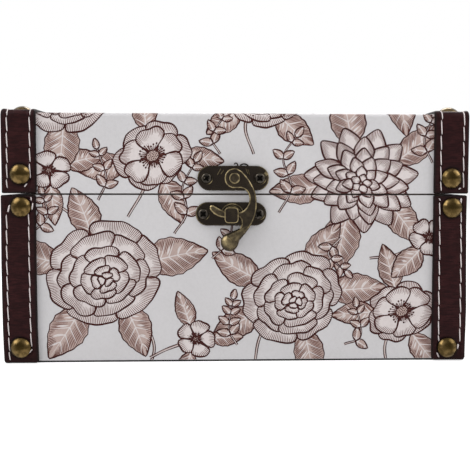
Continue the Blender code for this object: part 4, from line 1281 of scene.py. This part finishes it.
def clear_slot(shape, middle, length, width):
    """Cuts a slot with round ends out of the print."""
    outline = []
    for side in (1, -1):
        for number in range(9):
            angle = side * (-pi / 2) + number * pi / 8
            outline.append(Vector((middle[0] + side * (length - width) / 2 + cos(angle) * width / 2,
                                   middle[1] + sin(angle) * width / 2, 0)))
    for a, b in zip(outline, outline[1:] + outline[:1]):
        faces = [face for face in shape.faces if near_edge(face, a, b)]
        edges = {edge for face in faces for edge in face.edges}
        verts = {vertex for face in faces for vertex in face.verts}
        side = (b - a).normalized().cross(Vector((0, 0, 1)))
        bmesh.ops.bisect_plane(shape, geom=faces + list(edges) + list(verts), plane_co=a, plane_no=side)
    centres = np.array([face.calc_center_median()[:2] for face in shape.faces])
    inside = held_by(np.array([spot[:2] for spot in outline]), centres)
    cleared = [face for face, held in zip(shape.faces[:], inside) if held]
    bmesh.ops.delete(shape, geom=cleared, context="FACES")


def meets(points, low, high):
    return (points.max(0) > low).all() and (points.min(0) < high).all()


def add_tints(shape, tints):
    """The tinted shapes, each flat on its level."""
    for outline, level, tint in tints:
        face = shape.faces.new([shape.verts.new((x, y, level)) for x, y in outline])
        face.material_index = tint
        face.normal_update()
        if face.normal.z < 0:
            face.normal_flip()
    bmesh.ops.triangulate(shape, faces=shape.faces, ngon_method="EAR_CLIP")


def add_lines(shape, lines):
    """The pen lines: one long ladder of faces, laid along all of them and cut between them."""
    before = len(shape.faces)
    rungs = sum(len(line[0]) for line in lines)
    ladder = bmesh.ops.create_grid(shape, x_segments=1, y_segments=rungs - 1, size=1)["verts"]
    shape.faces.ensure_lookup_table()
    steps = shape.faces[before:]
    rung, bridges = 0, []
    for left, right, level, ink in lines:
        for a, b in zip(left, right):
            ladder[2 * rung].co = (*a, level)
            ladder[2 * rung + 1].co = (*b, level)
            if rung < len(steps):
                steps[rung].material_index = ink
            rung += 1
        if rung <= len(steps):
            bridges.append(steps[rung - 1])
    bmesh.ops.delete(shape, geom=bridges, context="FACES")


def cut_across(shape, axis, where, way=1, **settings):
    """Cuts a flat shape along a line across an axis."""
    side = Vector((axis == 0, axis == 1, 0))
    bmesh.ops.bisect_plane(shape, geom=shape.verts[:] + shape.edges[:] + shape.faces[:],
                           plane_co=side * where, plane_no=side * way, **settings)


def print_mesh(sheet, name, place, folds, low, high, slot=None):
    """Turns part of a sheet into a mesh in its place. Folds are (axis, where) pairs in the sheet."""
    shape = bmesh.new()
    add_tints(shape, [tint for tint in sheet.shapes if meets(tint[0], low, high)])
    add_lines(shape, [line for line in sheet.lines if meets(line[0], low, high)])
    for axis, where in folds:
        if low[axis] < where < high[axis]:
            cut_across(shape, axis, where)
    for axis in (0, 1):
        cut_across(shape, axis, low[axis], -1, clear_outer=True)
        cut_across(shape, axis, high[axis], clear_outer=True)
    if slot:
        clear_slot(shape, *slot)
    for face in shape.faces:
        face.normal_update()
    bmesh.ops.reverse_faces(shape, faces=[face for face in shape.faces if face.normal.z < 0])
    for vertex in shape.verts:
        x, y, level = vertex.co
        vertex.co = Vector(place(x, y, FIRST_LEVEL + LEVEL * level)) * MM
    shape.normal_update()
    mesh = bpy.data.meshes.new(name)
    shape.to_mesh(mesh)
    shape.free()
    return mesh


# Where the long sheet lies: it goes up the front, over the lid and down the back

HALF_DEPTH, HALF_WIDTH, TOP = half_depth / MM, half_width / MM, lid_top / MM
FOLD_RADIUS = 1.4
QUARTER = FOLD_RADIUS * pi / 2
RISE = TOP - FOLD_RADIUS
FLAT = 2 * (HALF_DEPTH - FOLD_RADIUS)
BACK_START = RISE + 2 * QUARTER + FLAT
FOLDS = [(1, start + QUARTER * i / 3) for start in (RISE, RISE + QUARTER + FLAT) for i in range(4)]


def over_the_box(x, y, height):
    """From the long sheet to the front, the top or the back."""
    reach = FOLD_RADIUS + height
    edge = HALF_DEPTH - FOLD_RADIUS
    if y < RISE:
        return x, -HALF_DEPTH - height, y
    if y < RISE + QUARTER:
        angle = (y - RISE) / FOLD_RADIUS
        return x, -edge - reach * cos(angle), RISE + reach * sin(angle)
    if y < RISE + QUARTER + FLAT:
        return x, -edge + y - RISE - QUARTER, TOP + height
    if y < BACK_START:
        angle = (y - RISE - QUARTER - FLAT) / FOLD_RADIUS
        return x, edge + reach * sin(angle), RISE + reach * cos(angle)
    return x, HALF_DEPTH + height, RISE - (y - BACK_START)


def round_an_end(side):
    """From an end's sheet to that end, round its corners. The sheet reads the right way from outside."""

    def place(x, y, height):
        reach = FOLD_RADIUS + height
        edge = HALF_DEPTH - FOLD_RADIUS
        turn, over = abs(x) - edge, math.copysign(1, x)
        if turn <= 0:
            return side * (HALF_WIDTH + height), side * x, y
        angle = min(turn / FOLD_RADIUS, pi / 2)
        past = max(0.0, turn - QUARTER)
        return (side * (HALF_WIDTH - FOLD_RADIUS + reach * cos(angle) - past),
                side * over * (edge + reach * sin(angle)), y)

    return place


CORNER_FOLDS = [(0, way * (HALF_DEPTH - FOLD_RADIUS + QUARTER * i / 3)) for way in (-1, 1) for i in range(4)]

# Flowers are (kind, across, along, radius, turn, leaves), sprigs (points, leaf length, pairs)
LONG_SHEET_FLOWERS = (
    ("camellia", -64, 43, 29, 20, 5), ("anemone", -40, 99, 19, 10, 4), ("dahlia", 60, 88, 26, 40, 5),
    ("camellia", 27, 31, 25, 70, 5), ("anemone", 80, 24, 18, 15, 4), ("primrose", -20, 11, 10, 0, 3),
    ("primrose", -89, 92, 11, 30, 3), ("primrose", 93, 60, 10, 50, 2), ("camellia", -80, 131, 24, 0, 4),
    ("camellia", 12, 129, 19, 40, 4), ("dahlia", 70, 150, 24, 10, 5), ("dahlia", -34, 150, 15, 0, 3),
    ("camellia", -82, 190, 25, 35, 5), ("anemone", 84, 196, 18, 5, 4), ("camellia", -20, 218, 22, 60, 5),
    ("dahlia", 48, 222, 25, 15, 5), ("anemone", -66, 232, 17, 20, 4), ("primrose", 14, 204, 8, 20, 2),
    ("dahlia", -58, 272, 24, 25, 5), ("camellia", 8, 262, 23, 50, 5), ("camellia", 72, 280, 28, 5, 5),
    ("camellia", -18, 312, 28, 45, 5), ("anemone", -76, 324, 22, 30, 4), ("anemone", 34, 342, 19, 60, 4),
    ("dahlia", 80, 334, 22, 0, 5), ("primrose", -46, 350, 10, 10, 3), ("primrose", 38, 296, 9, 40, 3),
)
LONG_SHEET_SPRIGS = (
    (((-30, 62), (-24, 72), (-26, 84), (-20, 96)), 8, 4), (((-12, 50), (-4, 58), (-2, 70)), 7, 3),
    (((50, 60), (44, 52), (52, 44)), 7, 3), (((-98, 62), (-90, 70), (-92, 80)), 7, 3),
    (((0, 8), (-4, 16), (-2, 30)), 7, 4), (((20, 72), (26, 84), (22, 98), (28, 108)), 8, 4),
    (((-8, 100), (-12, 108), (-6, 118)), 7, 3), (((52, 8), (60, 12), (58, 26)), 7, 3),
    (((94, 96), (90, 106), (94, 118)), 8, 3), (((-66, 78), (-62, 88), (-66, 102)), 7, 3),
    (((36, 120), (42, 130), (36, 142)), 8, 3), (((-56, 168), (-50, 160), (-56, 152)), 7, 3),
    (((30, 252), (38, 262), (34, 276)), 8, 4), (((-90, 262), (-88, 276), (-94, 290)), 8, 4),
    (((-52, 300), (-46, 310), (-52, 322)), 8, 3), (((50, 306), (56, 316), (50, 328)), 8, 4),
)
LONG_SHEET_STEMS = (
    ((-64, 43), (-48, 24), (-40, 8), (-44, -6)), ((27, 31), (12, 14), (8, -4)),
    ((60, 88), (52, 66), (36, 50)),
    ((-40, 99), (-44, 84), (-52, 70)), ((80, 24), (72, 8), (74, -6)), ((-64, 43), (-74, 66), (-88, 78)),
    ((-20, 11), (-34, 6), (-42, 2)), ((93, 60), (78, 52), (64, 50)), ((12, 129), (4, 114), (8, 100)),
    ((-82, 190), (-84, 160), (-80, 140)), ((48, 222), (70, 208), (82, 196)),
    ((-20, 218), (-40, 226), (-62, 230)), ((8, 262), (-8, 284), (-14, 300)),
    ((72, 280), (80, 304), (80, 326)),
    ((-58, 272), (-72, 296), (-76, 316)), ((-18, 312), (8, 334), (30, 342)),
)
END_FLOWERS = {
    -1: (("camellia", -20, 44, 29, 10, 5), ("dahlia", 30, 86, 25, 30, 5), ("anemone", 42, 26, 19, 0, 4),
         ("primrose", -44, 94, 12, 20, 3), ("anemone", -16, 112, 16, 40, 3)),
    1: (("dahlia", -30, 34, 26, 0, 5), ("camellia", 24, 62, 28, 45, 5), ("anemone", -34, 92, 20, 15, 4),
        ("primrose", 44, 16, 11, 30, 3), ("camellia", 36, 116.5, 18, 5, 3)),
}
END_SPRIGS = {
    -1: ((((6, 8), (12, 20), (8, 34)), 8, 4), (((-56, 60), (-50, 70), (-54, 82)), 8, 3)),
    1: ((((0, 8), (6, 18), (2, 30)), 8, 4), (((-4, 96), (2, 106), (-4, 116)), 8, 3)),
}


PRINT_REACH, PRINT_BOTTOM = 95.3, 1.0


def make_print():
    """The long sheet in three parts, and each end's sheet in two. The seam cuts them all."""
    low_seam, high_seam = base_top / MM, lid_bottom / MM
    around = RISE + BACK_START
    sheet = Sheet((-100, -4), (100, 362), 5)
    draw_garden(sheet, LONG_SHEET_FLOWERS, LONG_SHEET_SPRIGS, LONG_SHEET_STEMS)
    slot = ((0, around / 2), SLOT_LENGTH, SLOT_WIDTH)
    parts = [(sheet, name, body, over_the_box, FOLDS, (-PRINT_REACH, low), (PRINT_REACH, high), opening)
             for name, body, low, high, opening in (
                 ("base_print_front", "base", PRINT_BOTTOM, low_seam, None),
                 ("base_print_back", "base", around - low_seam, around - PRINT_BOTTOM, None),
                 ("lid_print", "lid", high_seam, around - high_seam, slot))]
    reach = HALF_DEPTH - FOLD_RADIUS + QUARTER + 2
    for side, hand in ((-1, "left"), (1, "right")):
        end = Sheet((-64, -4), (64, 124), 20 + side)
        draw_garden(end, END_FLOWERS[side], END_SPRIGS[side], ())
        for body, low, high in (("base", PRINT_BOTTOM, low_seam), ("lid", high_seam, RISE)):
            parts.append((end, f"{body}_print_{hand}", body, round_an_end(side), CORNER_FOLDS, (-reach, low),
                          (reach, high)))
    for sheet, name, body, *where in parts:
        mesh = print_mesh(sheet, name, *where)
        for paint in PAINTS:
            mesh.materials.append(finishes[paint])
        new_piece(name, mesh, body, None, "printed_leather")


make_print()
make_fasteners()
make_straps()
make_latch()
dress_packed_pieces()

# Floor, light and camera

EYE = Vector((0.0008, -0.4805, 0.0899))
EYE_TURN, EYE_TILT, EYE_ROLL = radians(2.375), radians(-4.087), radians(0.105)
LENS_SHARE = 876.7 / 470
SHIFT = (-40.0 / 470, 2.9 / 470)
WORLD_LEVEL = 0.56
FLOOR_HALF, FLOOR_GREY, FLOOR_GLOW = 30, 0.8, 0.45
# Each lamp's place, size and power
LAMPS = {
    "softbox_left": ((-0.95, -0.42, 0.95), (0.9, 1.0), 11),
    "softbox_right": ((0.95, -0.36, 0.9), (0.9, 0.9), 8),
    "softbox_back": ((0.2, 1.0, 1.1), (0.8, 0.5), 8),
}


def make_camera():
    """A camera at the photograph's height and angle."""
    camera = new_object("camera", bpy.data.cameras.new("camera"))
    ahead = Vector((sin(EYE_TURN) * cos(EYE_TILT), cos(EYE_TURN) * cos(EYE_TILT), sin(EYE_TILT)))
    right = Vector((cos(EYE_TURN), -sin(EYE_TURN), 0))
    up = right.cross(ahead)
    right, up = (cos(EYE_ROLL) * right + sin(EYE_ROLL) * up, cos(EYE_ROLL) * up - sin(EYE_ROLL) * right)
    camera.matrix_world = Matrix.Translation(EYE) @ Matrix((right, up, -ahead)).transposed().to_4x4()
    camera.data.lens = LENS_SHARE * camera.data.sensor_width
    camera.data.shift_x, camera.data.shift_y = SHIFT
    camera.data.clip_start = 0.01
    bpy.context.scene.camera = camera


def seen_directly(tree):
    """1 for rays from the camera and for those that a mirror-like or clear surface sends on."""
    path = tree.nodes.new("ShaderNodeLightPath")
    total = path.outputs["Is Camera Ray"]
    for key in ("Is Glossy Ray", "Is Transmission Ray"):
        either = {0: total, 1: path.outputs[key]}
        total = add_node(tree, "ShaderNodeMath", either, operation="MAXIMUM").outputs[0]
    return total


def make_world():
    """Soft light from all round, and white where the camera sees it."""
    world = bpy.data.worlds.new("studio")
    world.use_nodes = True
    tree = world.node_tree
    level = add_node(tree, "ShaderNodeMix", {"A": WORLD_LEVEL, "B": 1.0, "Factor": seen_directly(tree)})
    set_inputs(tree, tree.nodes["Background"], {"Color": (1, 1, 1, 1), "Strength": level.outputs["Result"]})
    bpy.context.scene.world = world


def make_floor():
    """A pale floor that keeps the shadow and runs white into the background."""
    shape = bmesh.new()
    bmesh.ops.create_grid(shape, x_segments=1, y_segments=1, size=FLOOR_HALF)
    floor = new_object("floor", finished(shape, "floor"))
    material = bpy.data.materials.new("floor")
    material.use_nodes = True
    tree = material.node_tree
    glow = add_node(tree, "ShaderNodeMath", {0: seen_directly(tree), 1: FLOOR_GLOW}, operation="MULTIPLY")
    set_inputs(tree, tree.nodes["Principled BSDF"], {
        "Base Color": (FLOOR_GREY, FLOOR_GREY, FLOOR_GREY, 1), "Roughness": 0.9, "Specular IOR Level": 0.0,
        "Emission Color": (1, 1, 1, 1), "Emission Strength": glow.outputs[0]})
    floor.data.materials.append(material)


def make_lamps():
    """Three softboxes that face the middle of the box."""
    middle = Vector((0, 0, lid_top / 2))
    for name, (place, size, power) in LAMPS.items():
        lamp = new_object(name, bpy.data.lights.new(name, "AREA"))
        lamp.location = place
        lamp.rotation_euler = (middle - Vector(place)).to_track_quat("-Z", "Y").to_euler()
        lamp.data.shape = "RECTANGLE"
        lamp.data.size, lamp.data.size_y = size
        lamp.data.energy = power


make_camera()
make_world()
make_floor()
make_lamps()
bpy.context.scene.view_settings.view_transform = "Standard"

bpy.context.view_layer.update()
